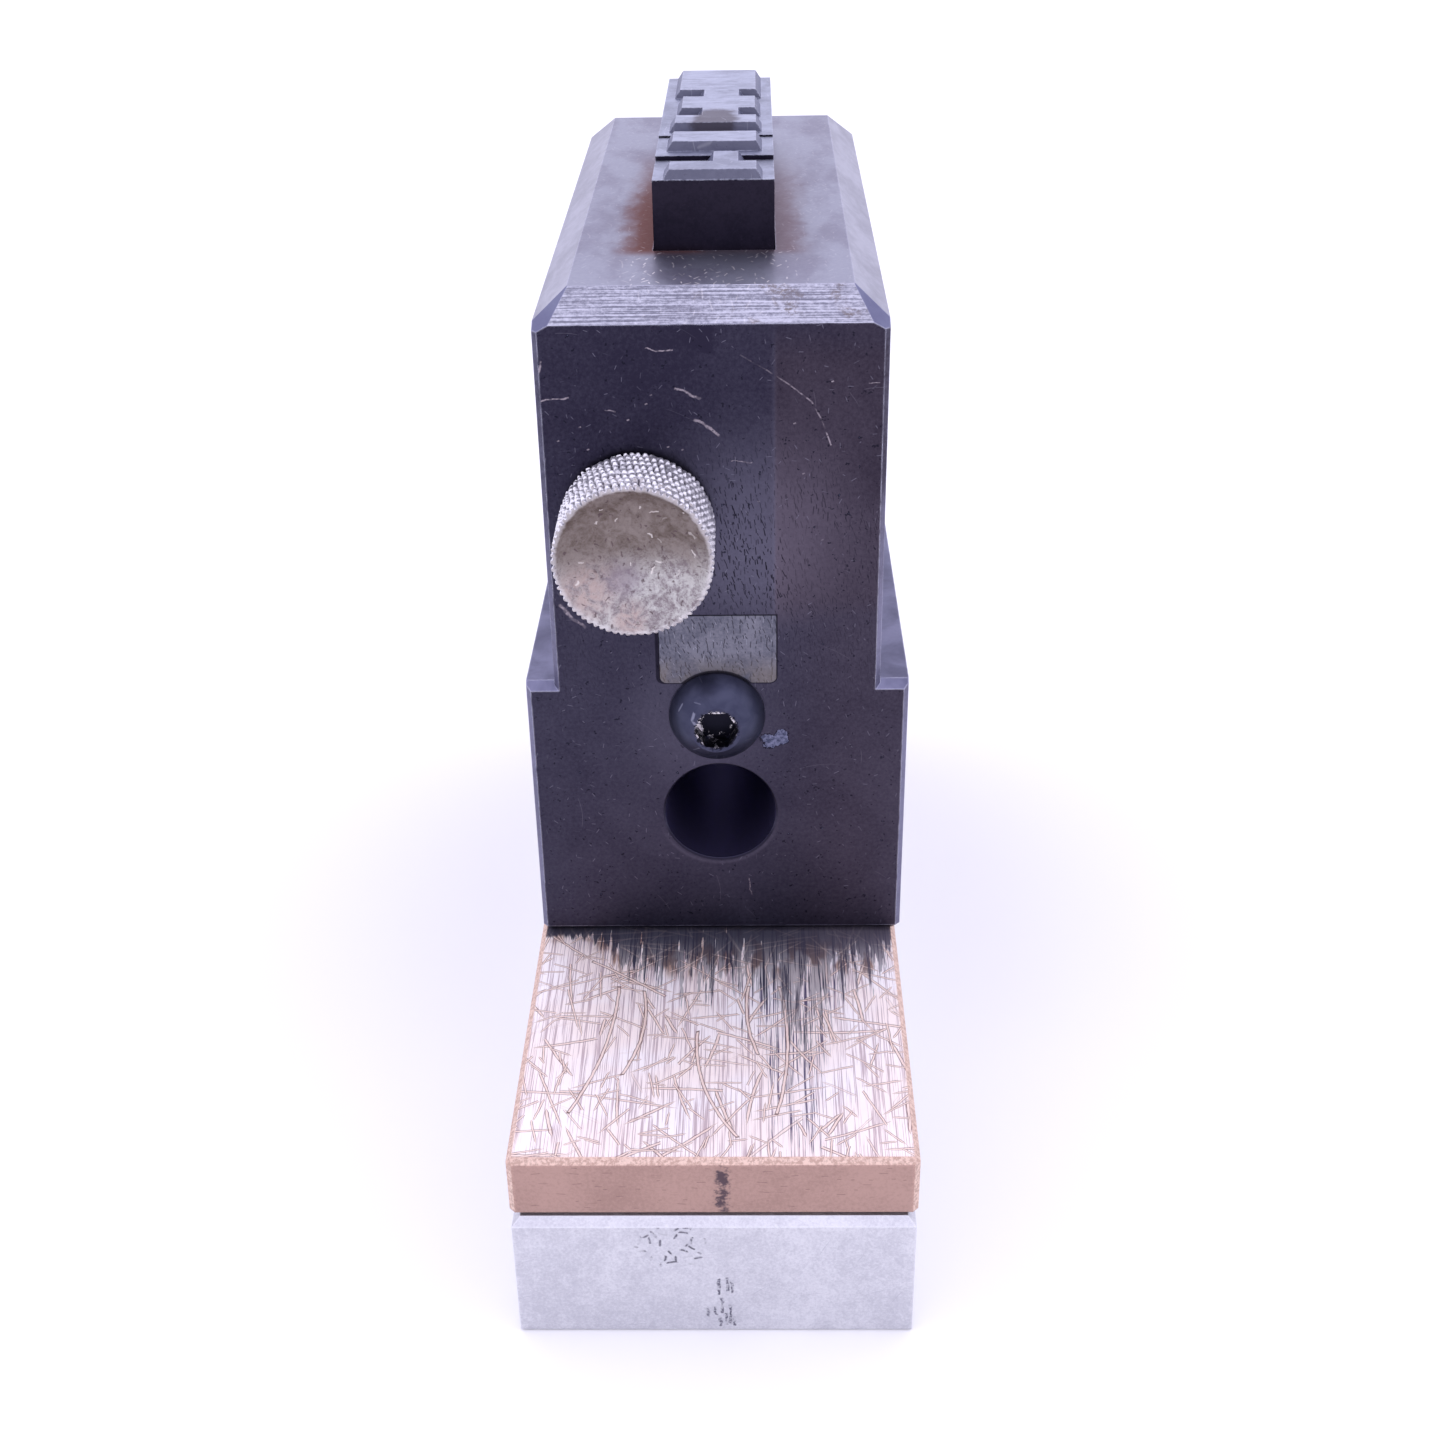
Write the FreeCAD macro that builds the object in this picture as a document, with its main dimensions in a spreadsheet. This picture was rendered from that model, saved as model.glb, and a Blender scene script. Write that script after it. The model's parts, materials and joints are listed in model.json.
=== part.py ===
import FreeCAD, Part
import math
import os
import re

import Sketcher

# A bench holder for steel marking type. A black steel block with stepped sides carries a row of
# type slugs in a slot in its top. The slugs stand on a hardened backing bar and are kept in by a
# retaining pin, which a knurled thumbscrew draws in and out along the row. The block is bolted
# through a copper plate to an aluminium base, and both run out in front of it as a striking pad.
#
# Frame, in millimetres: the origin is at the bottom centre of the whole object, +Z is up, the
# holder's front face looks along -Y and +X is to the right of it.

SIZES = {
    # Aluminium base and copper plate. Both sit a little to the left of the holder.
    "plate_shift": -0.35,
    "base_length": 121.7,
    "base_overhang": 37.7,
    "base_width": 39.4,
    "base_height": 15.0,
    "base_top_break": 0.8,
    "base_foot_break": 0.45,
    "copper_overhang": 37.0,
    "copper_width": 39.8,
    "copper_height": 7.15,
    "copper_break": 0.55,
    # Holder block
    "holder_depth": 80.6,
    "lower_width": 40.0,
    "upper_width": 34.0,
    "shoulder_rise": 31.8,
    "holder_height": 72.95,
    "bevel_height": 2.8,
    "bevel_width": 3.3,
    "mitre_reach": 1.15,
    "mitre_tilt": 38.0,
    "mitre_cutter": 13.0,
    "upright_break": 0.5,
    "foot_break": 0.8,
    "shoulder_break": 0.9,
    # Round bore through the holder
    "bore_radius": 6.0,
    "bore_rise": 15.85,
    "bore_break": 0.2,
    # Slot for the type and the channel under it
    "row_shift": 0.15,
    "slot_front": 15.0,
    "slot_length": 50.6,
    "slot_width": 12.3,
    "channel_width": 12.2,
    "channel_height": 7.85,
    "bar_width": 12.1,
    "bar_height": 7.78,
    "bar_corner": 0.7,
    # Type slugs
    "slug_width": 12.1,
    "slug_break": 0.3,
    "notch_radius": 3.1,
    "relief_height": 1.0,
    "relief_flank": 0.65,
    "relief_lip": 0.15,
    "front_slug_length": 8.25,
    "front_slug_height": 40.35,
    "middle_slug_start": 8.33,
    "middle_slug_length": 8.25,
    "middle_slug_height": 40.8,
    "long_slug_start": 16.62,
    "long_slug_length": 30.65,
    "long_slug_height": 41.0,
    "spacer_start": 47.32,
    "spacer_length": 3.2,
    "spacer_height": 36.5,
    # Thumbscrew and retaining pin
    "knob_shift": -7.6,
    "knob_rise": 49.95,
    "knob_radius": 7.8,
    "knob_length": 9.0,
    "knob_gap": 0.6,
    "knob_break": 0.35,
    "dish_radius": 14.9,
    "dish_depth": 2.0,
    "spigot_radius": 4.5,
    "spigot_length": 4.5,
    "thread_radius": 5.0,
    "thread_length": 12.0,
    "thread_break": 0.5,
    "thread_hole_radius": 5.08,
    "thread_hole_depth": 13.0,
    "pin_radius": 3.0,
    "pin_hole_radius": 3.06,
    "pin_hole_depth": 68.0,
    "pin_reach": 65.8,
    "pin_head_radius": 3.6,
    "pin_head_length": 1.8,
    "pin_recess_radius": 3.68,
    "pin_recess_depth": 2.0,
    "pin_point": 1.0,
    # Button-head screws that keep the backing bar in
    "button_shift": -0.05,
    "button_rise": 27.95,
    "button_radius": 5.05,
    "button_height": 3.3,
    "button_dome_radius": 5.305,
    "button_dome_drop": 1.32,
    "button_hex_flats": 4.0,
    "button_hex_depth": 2.1,
    "button_shank_radius": 2.97,
    "button_shank_length": 9.0,
    "button_hole_radius": 3.0,
    "button_hole_depth": 10.0,
    # Cap screws and dowels that join base, copper plate and holder
    "cap_screw_side": 11.5,
    "cap_screw_inset": 13.0,
    "cap_head_radius": 4.25,
    "cap_head_height": 5.0,
    "cap_hex_flats": 4.0,
    "cap_hex_depth": 2.5,
    "cap_shank_radius": 2.46,
    "cap_shank_length": 25.0,
    "cap_hole_radius": 2.5,
    "cap_hole_depth": 10.0,
    "cap_clearance_radius": 2.75,
    "cap_recess_radius": 4.75,
    "cap_recess_depth": 6.0,
    "dowel_radius": 2.0,
    "dowel_hole_radius": 2.01,
    "dowel_end_gap": 0.1,
    "dowel_length": 20.0,
    "dowel_inset": 11.0,
    "dowel_base_depth": 6.2,
    "dowel_holder_depth": 7.0,
}

# Raised bars on the type slugs, each as its left, right, front and rear edge at the foot of its
# flanks, from the middle of the slug's front edge.
RAISED_BARS = {
    "front_slug": {
        "head_bar": (-5.0, 4.9, 0.1, 3.9),
        "stem_bar": (-0.7, 3.1, 3.3, 8.1),
    },
    "middle_slug": {
        "wide_bar": (-5.0, 4.9, 1.9, 6.9),
    },
    "long_slug": {
        "near_bar": (-5.0, 4.9, 1.5, 5.6),
        "half_bar": (-4.5, 4.8, 8.9, 15.4),
        "link_bar": (-2.2, 3.0, 4.9, 19.6),
        "far_bar": (-5.0, 4.9, 18.7, 30.4),
    },
}

SIDES = ("left", "right", "front", "rear")

# A sketch's corners start on a circle of this radius, before their dimensions move them.
DRAFT_RADIUS = 9.0

document = FreeCAD.newDocument("TypeHolder")
sheet = document.addObject("Spreadsheet::Sheet", "Sizes")


def fill_sheet():
    """Writes every driving dimension to its own cell, under its name."""
    cells = dict(SIZES)
    for slug, bars in RAISED_BARS.items():
        for bar, edges in bars.items():
            cells.update({f"{bar}_{side}": edge for side, edge in zip(SIDES, edges)})
    for row, (name, value) in enumerate(cells.items(), start=1):
        sheet.set(f"A{row}", name)
        sheet.set(f"B{row}", str(value))
        sheet.setAlias(f"B{row}", name)
    document.recompute()


fill_sheet()


def size(name):
    """A driving dimension's value."""
    return sheet.get(name)


def bound(text):
    """An expression in the names of dimensions, as FreeCAD reads it."""
    return re.sub(r"[a-z]\w*\b(?!\()", lambda name: "Sizes." + name.group(), text)


def bind(thing, **expressions):
    """Binds properties of an object to expressions in the names of dimensions."""
    for name, text in expressions.items():
        thing.setExpression(name, bound(text))


def place(thing, x="0", y="0", z="0", rotation=None):
    """Puts an object at a point given by expressions."""
    if rotation is not None:
        thing.Placement = FreeCAD.Placement(FreeCAD.Vector(0, 0, 0), rotation)
    for axis, text in zip("xyz", (x, y, z)):
        thing.setExpression(f"Placement.Base.{axis}", bound(text))


FORWARD = FreeCAD.Rotation(FreeCAD.Vector(1, 0, 0), 90)
BACKWARD = FreeCAD.Rotation(FreeCAD.Vector(1, 0, 0), -90)

HOLDER_FRONT = "base_overhang - base_length / 2"
HOLDER_FOOT = "base_height + copper_height"
ROW_FRONT = f"{HOLDER_FRONT} + slot_front"
BAR_TOP = f"{HOLDER_FOOT} + shoulder_rise + bar_height"


# Sketches and features


def new_body(label):
    body = document.addObject("PartDesign::Body", label)
    body.Label = label
    return body


def sketch_on(body, role, name, lift="0"):
    """A sketch on one of the body's own origin planes, moved along its normal by lift."""
    sketch = body.newObject("Sketcher::SketchObject", name)
    plane = next(f for f in body.Origin.OriginFeatures if f.Role == role)
    sketch.AttachmentSupport = [(plane, "")]
    sketch.MapMode = "FlatFace"
    sketch.setExpression("AttachmentOffset.Base.z", bound(lift))
    return sketch


def fix_value(sketch, name, constraint, text):
    """Adds a dimension to a sketch and binds it to an expression."""
    index = sketch.addConstraint(constraint)
    sketch.renameConstraint(index, name)
    sketch.setExpression(f"Constraints.{name}", bound(text))


def draw_outline(sketch, points):
    """A closed outline of straight edges, each corner fixed by two expressions."""
    count = len(points)
    first = sketch.GeometryCount
    turn = FreeCAD.Rotation(FreeCAD.Vector(0, 0, 1), 360 / count)
    corners = [FreeCAD.Vector(DRAFT_RADIUS, 0, 0)]
    for _ in range(count - 1):
        corners.append(turn.multVec(corners[-1]))
    for i in range(count):
        sketch.addGeometry(Part.LineSegment(corners[i], corners[(i + 1) % count]), False)
    for i in range(count):
        ahead = first + (i + 1) % count
        sketch.addConstraint(Sketcher.Constraint("Coincident", first + i, 2, ahead, 1))
    for i, (x, y) in enumerate(points):
        line = first + i
        fix_value(sketch, f"x{line}", Sketcher.Constraint("DistanceX", -1, 1, line, 1, 1.0), x)
        fix_value(sketch, f"y{line}", Sketcher.Constraint("DistanceY", -1, 1, line, 1, 1.0), y)


def draw_rectangle(sketch, left, right, low, high):
    draw_outline(sketch, [(left, low), (right, low), (right, high), (left, high)])


def draw_circle(sketch, x, y, radius):
    index = sketch.addGeometry(Part.Circle(FreeCAD.Vector(1, 1, 0), FreeCAD.Vector(0, 0, 1), 1), False)
    fix_value(sketch, f"x{index}", Sketcher.Constraint("DistanceX", -1, 1, index, 3, 1.0), x)
    fix_value(sketch, f"y{index}", Sketcher.Constraint("DistanceY", -1, 1, index, 3, 1.0), y)
    fix_value(sketch, f"r{index}", Sketcher.Constraint("Radius", index, 1.0), radius)


def add_feature(body, kind, name, sketch, length, flip=False):
    feature = body.newObject(f"PartDesign::{kind}", name)
    feature.Profile = sketch
    feature.Reversed = flip
    bind(feature, Length=length)
    body.Tip = feature
    document.recompute()
    return feature


def pad(body, name, sketch, length, flip=False):
    return add_feature(body, "Pad", name, sketch, length, flip)


def pocket(body, name, sketch, depth, flip=False):
    """Cuts a sketch into the body, and stops if the cut meets no material."""
    before = body.Tip.Shape.Volume
    feature = add_feature(body, "Pocket", name, sketch, depth, flip)
    if not feature.Shape.Volume < before:
        raise RuntimeError(f"{body.Label}: {name} cuts nothing")
    return feature


def edge_names(shape, test):
    """Names of the edges whose middle point and direction pass a test."""
    names = []
    for number, edge in enumerate(shape.Edges, start=1):
        middle = edge.valueAt((edge.FirstParameter + edge.LastParameter) / 2)
        along = edge.tangentAt((edge.FirstParameter + edge.LastParameter) / 2)
        if test(middle, along):
            names.append(f"Edge{number}")
    return names


def dress_edges(body, kind, name, amount, test):
    """A chamfer or fillet on every edge that passes a test."""
    base = body.Tip
    names = edge_names(base.Shape, test)
    if not names:
        raise RuntimeError(f"{body.Label}: {name} finds no edge")
    feature = body.newObject(f"PartDesign::{kind}", name)
    feature.Base = (base, names)
    bind(feature, **{"Size" if kind == "Chamfer" else "Radius": amount})
    body.Tip = feature
    document.recompute()
    return feature


def near(value, target, room=0.01):
    return abs(value - target) < room


def runs_along(direction, axis):
    return abs(abs(getattr(direction, axis)) - 1) < 1e-6


# Holder block. Its own frame has the front face at Y = 0 and its foot at Z = 0.


def make_holder():
    body = new_body("holder_block")
    outline = sketch_on(body, "XZ_Plane", "HolderOutline")
    eaves = "holder_height - bevel_height"
    right_side = [
        ("lower_width / 2", "0"),
        ("lower_width / 2", "shoulder_rise"),
        ("upper_width / 2", "shoulder_rise"),
        ("upper_width / 2", eaves),
    ]
    left_side = [("-" + x, z) for x, z in reversed(right_side)]
    draw_outline(outline, right_side + left_side)
    pad(body, "HolderPad", outline, "holder_depth", flip=True)
    add_bevelled_top(body, eaves)
    break_holder_edges(body)
    cut_row_slot(body)
    cut_holder_holes(body)
    for right in (1, -1):
        for rear in (0, 1):
            file_top_corner(body, right, rear)
    place(body, y=HOLDER_FRONT, z=HOLDER_FOOT)
    return body


def add_bevelled_top(body, eaves):
    """The low hipped cap: a loft from the full outline to the flat top."""
    side = "upper_width / 2"
    foot = sketch_on(body, "XY_Plane", "BevelFoot", lift=eaves)
    draw_rectangle(foot, "-" + side, side, "0", "holder_depth")
    flat = sketch_on(body, "XY_Plane", "BevelFlat", lift="holder_height")
    draw_rectangle(
        flat, f"bevel_width - {side}", f"{side} - bevel_width", "bevel_width", "holder_depth - bevel_width"
    )
    document.recompute()
    loft = body.newObject("PartDesign::AdditiveLoft", "BevelledTop")
    loft.Profile = foot
    loft.Sections = [flat]
    loft.Ruled = True
    body.Tip = loft
    document.recompute()


def break_holder_edges(body):
    depth = size("holder_depth")
    lower = size("lower_width") / 2
    upper = size("upper_width") / 2
    shoulder = size("shoulder_rise")

    def upright(point, along):
        return runs_along(along, "z") and (near(abs(point.x), lower) or near(abs(point.x), upper))

    def foot(point, along):
        return near(point.z, 0)

    def ledge_end(point, along):
        at_end = near(point.y, 0) or near(point.y, depth)
        return at_end and near(point.z, shoulder) and runs_along(along, "x")

    dress_edges(body, "Chamfer", "LedgeBreak", "shoulder_break", ledge_end)
    dress_edges(body, "Chamfer", "UprightBreak", "upright_break", upright)
    dress_edges(body, "Chamfer", "FootBreak", "foot_break", foot)


def cut_row_slot(body):
    """The slot for the type from the top, and the through channel for the backing bar under it."""
    slot = sketch_on(body, "XY_Plane", "SlotOutline", lift="holder_height")
    draw_rectangle(
        slot,
        "row_shift - slot_width / 2",
        "row_shift + slot_width / 2",
        "slot_front",
        "slot_front + slot_length",
    )
    pocket(body, "TypeSlot", slot, "holder_height - shoulder_rise - channel_height / 2")
    channel = sketch_on(body, "XZ_Plane", "ChannelOutline")
    draw_rectangle(
        channel,
        "row_shift - channel_width / 2",
        "row_shift + channel_width / 2",
        "shoulder_rise",
        "shoulder_rise + channel_height",
    )
    pocket(body, "BarChannel", channel, "holder_depth")
    middle = size("row_shift")
    half = size("channel_width") / 2
    floor = size("shoulder_rise")

    def floor_corner(point, along):
        return runs_along(along, "y") and near(point.z, floor) and near(abs(point.x - middle), half)

    dress_edges(body, "Fillet", "ChannelCorners", "bar_corner", floor_corner)


def cut_holder_holes(body):
    bore = sketch_on(body, "XZ_Plane", "BoreCircle")
    draw_circle(bore, "row_shift", "bore_rise", "bore_radius")
    pocket(body, "Bore", bore, "holder_depth")

    def bore_rim(point, along):
        from_axis = math.hypot(point.x - size("row_shift"), point.z - size("bore_rise"))
        at_end = near(point.y, 0) or near(point.y, size("holder_depth"))
        return at_end and near(from_axis, size("bore_radius"))

    dress_edges(body, "Chamfer", "BoreBreak", "bore_break", bore_rim)
    thread = sketch_on(body, "XZ_Plane", "ThreadCircle")
    draw_circle(thread, "knob_shift", "knob_rise", "thread_hole_radius")
    pocket(body, "ThreadHole", thread, "thread_hole_depth")
    pin = sketch_on(body, "XZ_Plane", "PinCircle")
    draw_circle(pin, "knob_shift", "knob_rise", "pin_hole_radius")
    pocket(body, "PinHole", pin, "pin_hole_depth")
    front = sketch_on(body, "XZ_Plane", "FrontButtonCircle")
    draw_circle(front, "button_shift", "button_rise", "button_hole_radius")
    pocket(body, "FrontButtonHole", front, "button_hole_depth")
    rear = sketch_on(body, "XZ_Plane", "RearButtonCircle", lift="-holder_depth")
    draw_circle(rear, "button_shift", "button_rise", "button_hole_radius")
    pocket(body, "RearButtonHole", rear, "button_hole_depth", flip=True)
    screws = sketch_on(body, "XY_Plane", "CapScrewCircles")
    for x in ("-cap_screw_side", "cap_screw_side"):
        for y in ("cap_screw_inset", "holder_depth - cap_screw_inset"):
            draw_circle(screws, x, y, "cap_hole_radius")
    pocket(body, "CapScrewHoles", screws, "cap_hole_depth", flip=True)
    dowels = sketch_on(body, "XY_Plane", "DowelCircles")
    for y in ("dowel_inset", "holder_depth - dowel_inset"):
        draw_circle(dowels, "0", y, "dowel_hole_radius")
    pocket(body, "DowelHoles", dowels, "dowel_holder_depth", flip=True)


def file_top_corner(body, right, rear):
    """A flat filed across a corner of the bevelled top, wider towards its lower end."""
    side = 1 if right > 0 else -1
    end = 1 if rear else -1
    outward = FreeCAD.Vector(side, end, 0).normalize()
    heading = math.degrees(math.atan2(outward.y, outward.x))
    turn = FreeCAD.Rotation(FreeCAD.Vector(0, 0, 1), heading)
    tilt = FreeCAD.Rotation(FreeCAD.Vector(0, 1, 0), size("mitre_tilt"))
    rotation = turn.multiply(tilt)
    corner = FreeCAD.Vector(
        side * size("upper_width") / 2,
        size("holder_depth") * rear,
        size("holder_height") - size("bevel_height"),
    )
    foot = corner - outward * size("mitre_reach")
    width = size("mitre_cutter")
    box = body.newObject("PartDesign::SubtractiveBox", f"Corner{'R' if side > 0 else 'L'}{rear}")
    box.Length = width
    box.Width = width
    box.Height = width
    shift = rotation.multVec(FreeCAD.Vector(-width / 2, -width / 2, 0))
    box.Placement = FreeCAD.Placement(foot + shift, rotation)
    body.Tip = box
    document.recompute()


# Plates


def make_plate(label, overhang, width, height):
    """A flat bar. In its own frame the holder's front face is at Y = 0."""
    body = new_body(label)
    outline = sketch_on(body, "XY_Plane", label + "_outline")
    rear = "base_length - base_overhang"
    draw_rectangle(outline, f"-{width} / 2", f"{width} / 2", f"-{overhang}", rear)
    pad(body, label + "_pad", outline, height)
    return body


def plate_screw_circles(body, name, radius, lift="0"):
    """Four circles under the holder's cap screws."""
    sketch = sketch_on(body, "XY_Plane", name, lift=lift)
    for side in ("-cap_screw_side", "cap_screw_side"):
        for y in ("cap_screw_inset", "holder_depth - cap_screw_inset"):
            draw_circle(sketch, f"{side} - plate_shift", y, radius)
    return sketch


def plate_dowel_circles(body, name, lift="0"):
    sketch = sketch_on(body, "XY_Plane", name, lift=lift)
    for y in ("dowel_inset", "holder_depth - dowel_inset"):
        draw_circle(sketch, "-plate_shift", y, "dowel_hole_radius")
    return sketch


def make_copper_plate():
    body = make_plate("copper_plate", "copper_overhang", "copper_width", "copper_height")
    dress_edges(body, "Chamfer", "copper_breaks", "copper_break", lambda point, along: True)
    pocket(
        body,
        "copper_screw_holes",
        plate_screw_circles(body, "copper_screw_circles", "cap_clearance_radius", "copper_height"),
        "copper_height",
    )
    pocket(
        body,
        "copper_dowel_holes",
        plate_dowel_circles(body, "copper_dowel_circles", "copper_height"),
        "copper_height",
    )
    place(body, "plate_shift", HOLDER_FRONT, "base_height")
    return body


def make_aluminium_base():
    body = make_plate("aluminium_base", "base_overhang", "base_width", "base_height")
    height = size("base_height")
    dress_edges(body, "Chamfer", "base_top_breaks", "base_top_break", lambda p, a: near(p.z, height))
    dress_edges(body, "Fillet", "base_foot_breaks", "base_foot_break", lambda p, a: near(p.z, 0))
    through = plate_screw_circles(body, "base_screw_circles", "cap_clearance_radius", "base_height")
    pocket(body, "base_screw_holes", through, "base_height")
    recesses = plate_screw_circles(body, "base_recess_circles", "cap_recess_radius")
    pocket(body, "base_screw_recesses", recesses, "cap_recess_depth", flip=True)
    dowels = plate_dowel_circles(body, "base_dowel_circles", "base_height")
    pocket(body, "base_dowel_holes", dowels, "dowel_base_depth")
    place(body, "plate_shift", HOLDER_FRONT, "0")
    return body


# The row: backing bar and type slugs


def make_backing_bar():
    body = new_body("backing_bar")
    outline = sketch_on(body, "XZ_Plane", "BarOutline")
    draw_rectangle(outline, "-bar_width / 2", "bar_width / 2", "0", "bar_height")
    pad(body, "BarPad", outline, "holder_depth", flip=True)

    def long_low_edge(point, along):
        return runs_along(along, "y") and near(point.z, 0)

    dress_edges(body, "Fillet", "BarCorners", "bar_corner", long_low_edge)
    place(body, "row_shift", HOLDER_FRONT, f"{HOLDER_FOOT} + shoulder_rise")
    return body


def make_slug(label, start, length, height, bars=()):
    """A slug with its own frame at the middle of its foot's front edge, and its raised bars."""
    body = new_body(label)
    outline = sketch_on(body, "XZ_Plane", label + "_outline")
    draw_rectangle(outline, "-slug_width / 2", "slug_width / 2", "0", height)
    pad(body, label + "_pad", outline, length, flip=True)
    dress_edges(body, "Chamfer", label + "_foot", "slug_break", lambda p, a: near(p.z, 0))
    notch = sketch_on(body, "XZ_Plane", label + "_notch_circle")
    draw_circle(notch, "knob_shift - row_shift", "knob_rise - shoulder_rise - bar_height", "notch_radius")
    pocket(body, label + "_notch", notch, length)
    for bar in bars:
        raise_bar(body, bar, height)
    place(body, "row_shift", f"{ROW_FRONT} + {start}", BAR_TOP)
    return body


def raise_bar(body, bar, height):
    """One raised bar: a loft from its foot to a narrower top, steeper in front and behind."""
    foot = sketch_on(body, "XY_Plane", bar + "_foot", lift=height)
    draw_rectangle(foot, f"{bar}_left", f"{bar}_right", f"{bar}_front", f"{bar}_rear")
    top = sketch_on(body, "XY_Plane", bar + "_top", lift=f"{height} + relief_height")
    draw_rectangle(
        top,
        f"{bar}_left + relief_flank",
        f"{bar}_right - relief_flank",
        f"{bar}_front + relief_lip",
        f"{bar}_rear - 2 * relief_lip",
    )
    document.recompute()
    loft = body.newObject("PartDesign::AdditiveLoft", bar)
    loft.Profile = foot
    loft.Sections = [top]
    loft.Ruled = True
    body.Tip = loft
    document.recompute()


def make_row():
    slugs = []
    for name in ("front", "middle", "long"):
        slug = name + "_slug"
        start = "0" if name == "front" else slug + "_start"
        label = f"type_slug_{name}"
        slugs.append(make_slug(label, start, slug + "_length", slug + "_height", RAISED_BARS[slug]))
    slugs.append(make_slug("spacer_slug", "spacer_start", "spacer_length", "spacer_height"))
    return slugs


# Thumbscrew and retaining pin. Their frames have Z along the screw, out of the holder, and Z = 0
# in its front face.


def make_turned(label, profile):
    """A body turned about its own Z axis from a half-section of radii and heights."""
    body = new_body(label)
    section = sketch_on(body, "XZ_Plane", label + "_section")
    draw_outline(section, profile)
    document.recompute()
    turned = body.newObject("PartDesign::Revolution", label + "_turned")
    turned.Profile = section
    turned.ReferenceAxis = (section, ["V_Axis"])
    turned.Angle = 360
    body.Tip = turned
    document.recompute()
    return body


def put_on_screw_line(body):
    place(body, "knob_shift", HOLDER_FRONT, f"{HOLDER_FOOT} + knob_rise", FORWARD)


def make_thumb_knob():
    top = "knob_gap + knob_length"
    profile = [
        ("spigot_radius", "knob_gap"),
        ("knob_radius - knob_break", "knob_gap"),
        ("knob_radius", "knob_gap + knob_break"),
        ("knob_radius", f"{top} - knob_break"),
        ("knob_radius - knob_break", top),
        ("0", top),
        ("0", "knob_gap + spigot_length"),
        ("spigot_radius", "knob_gap + spigot_length"),
    ]
    body = make_turned("thumb_knob", profile)
    before = body.Tip.Shape.Volume
    dish = body.newObject("PartDesign::SubtractiveSphere", "KnobDish")
    bind(dish, Radius="dish_radius")
    lift = f"{top} - dish_depth + dish_radius"
    dish.setExpression("Placement.Base.z", bound(lift))
    body.Tip = dish
    document.recompute()
    if not dish.Shape.Volume < before:
        raise RuntimeError("thumb_knob: the dish cuts nothing")
    put_on_screw_line(body)
    return body


def make_threaded_sleeve():
    end = "knob_gap + spigot_length"
    profile = [
        ("pin_hole_radius", "-thread_length"),
        ("thread_radius - thread_break", "-thread_length"),
        ("thread_radius", "thread_break - thread_length"),
        ("thread_radius", "knob_gap"),
        ("spigot_radius", "knob_gap"),
        ("spigot_radius", end),
        ("pin_recess_radius", end),
        ("pin_recess_radius", f"{end} - pin_recess_depth"),
        ("pin_hole_radius", f"{end} - pin_recess_depth"),
    ]
    body = make_turned("threaded_sleeve", profile)
    put_on_screw_line(body)
    return body


def make_retaining_pin():
    neck = "knob_gap + spigot_length - pin_recess_depth + (pin_recess_depth - pin_head_length) / 2"
    profile = [
        ("0", "-pin_reach"),
        ("pin_radius - pin_point", "-pin_reach"),
        ("pin_radius", "pin_point - pin_reach"),
        ("pin_radius", neck),
        ("pin_head_radius", neck),
        ("pin_head_radius", f"{neck} + pin_head_length"),
        ("0", f"{neck} + pin_head_length"),
    ]
    body = make_turned("retaining_pin", profile)
    put_on_screw_line(body)
    return body


# Screws and dowels


def add_part(kind, name, **expressions):
    thing = document.addObject(f"Part::{kind}", name)
    bind(thing, **expressions)
    return thing


def join(kind, name, first, second):
    """A boolean of two objects, such as a Fuse, Cut or Common."""
    result = document.addObject(f"Part::{kind}", name)
    result.Base = first
    result.Tool = second
    return result


def hex_socket(name, flats, depth, lift):
    """A hexagonal prism that stands at a height, to be cut out of a screw's head."""
    prism = add_part("Prism", name, Circumradius=f"{flats} / sqrt(3)", Height=depth)
    prism.Polygon = 6
    place(prism, z=lift)
    return prism


def make_button_screw(label, y, rotation):
    """Its own frame has the seat of the head at Z = 0 and the head above it."""
    blank = add_part("Cylinder", label + "_blank", Radius="button_radius", Height="button_height")
    dome = add_part("Sphere", label + "_sphere", Radius="button_dome_radius")
    place(dome, z="-button_dome_drop")
    head = join("Common", label + "_dome", blank, dome)
    shank = add_part(
        "Cylinder", label + "_shank", Radius="button_shank_radius", Height="button_shank_length"
    )
    place(shank, z="-button_shank_length")
    solid = join("Fuse", label + "_solid", head, shank)
    socket = hex_socket(
        label + "_hex", "button_hex_flats", "button_hex_depth", "button_height - button_hex_depth"
    )
    screw = join("Cut", label, solid, socket)
    screw.Label = label
    place(screw, "button_shift", y, f"{HOLDER_FOOT} + button_rise", rotation)
    return screw


def make_cap_screw(name, x, y):
    """Stands head down in its recess in the base's underside."""
    head = add_part("Cylinder", name + "_head", Radius="cap_head_radius", Height="cap_head_height")
    shank = add_part(
        "Cylinder",
        name + "_shank",
        Radius="cap_shank_radius",
        Height="cap_head_height + cap_shank_length",
    )
    solid = join("Fuse", name + "_solid", head, shank)
    socket = hex_socket(name + "_hex", "cap_hex_flats", "cap_hex_depth", "0")
    screw = join("Cut", name, solid, socket)
    place(screw, x, y, "cap_recess_depth - cap_head_height")
    return screw


def gather(label, things):
    """One node for a group of identical separate pieces."""
    group = document.addObject("Part::Compound", label)
    group.Label = label
    group.Links = things
    return group


def make_base_screws():
    ends = ("cap_screw_inset", "holder_depth - cap_screw_inset")
    screws = []
    for side in ("-cap_screw_side", "cap_screw_side"):
        for end in ends:
            screws.append(make_cap_screw(f"cap_screw_{len(screws) + 1}", side, f"{HOLDER_FRONT} + {end}"))
    return gather("base_screws", screws)


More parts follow.
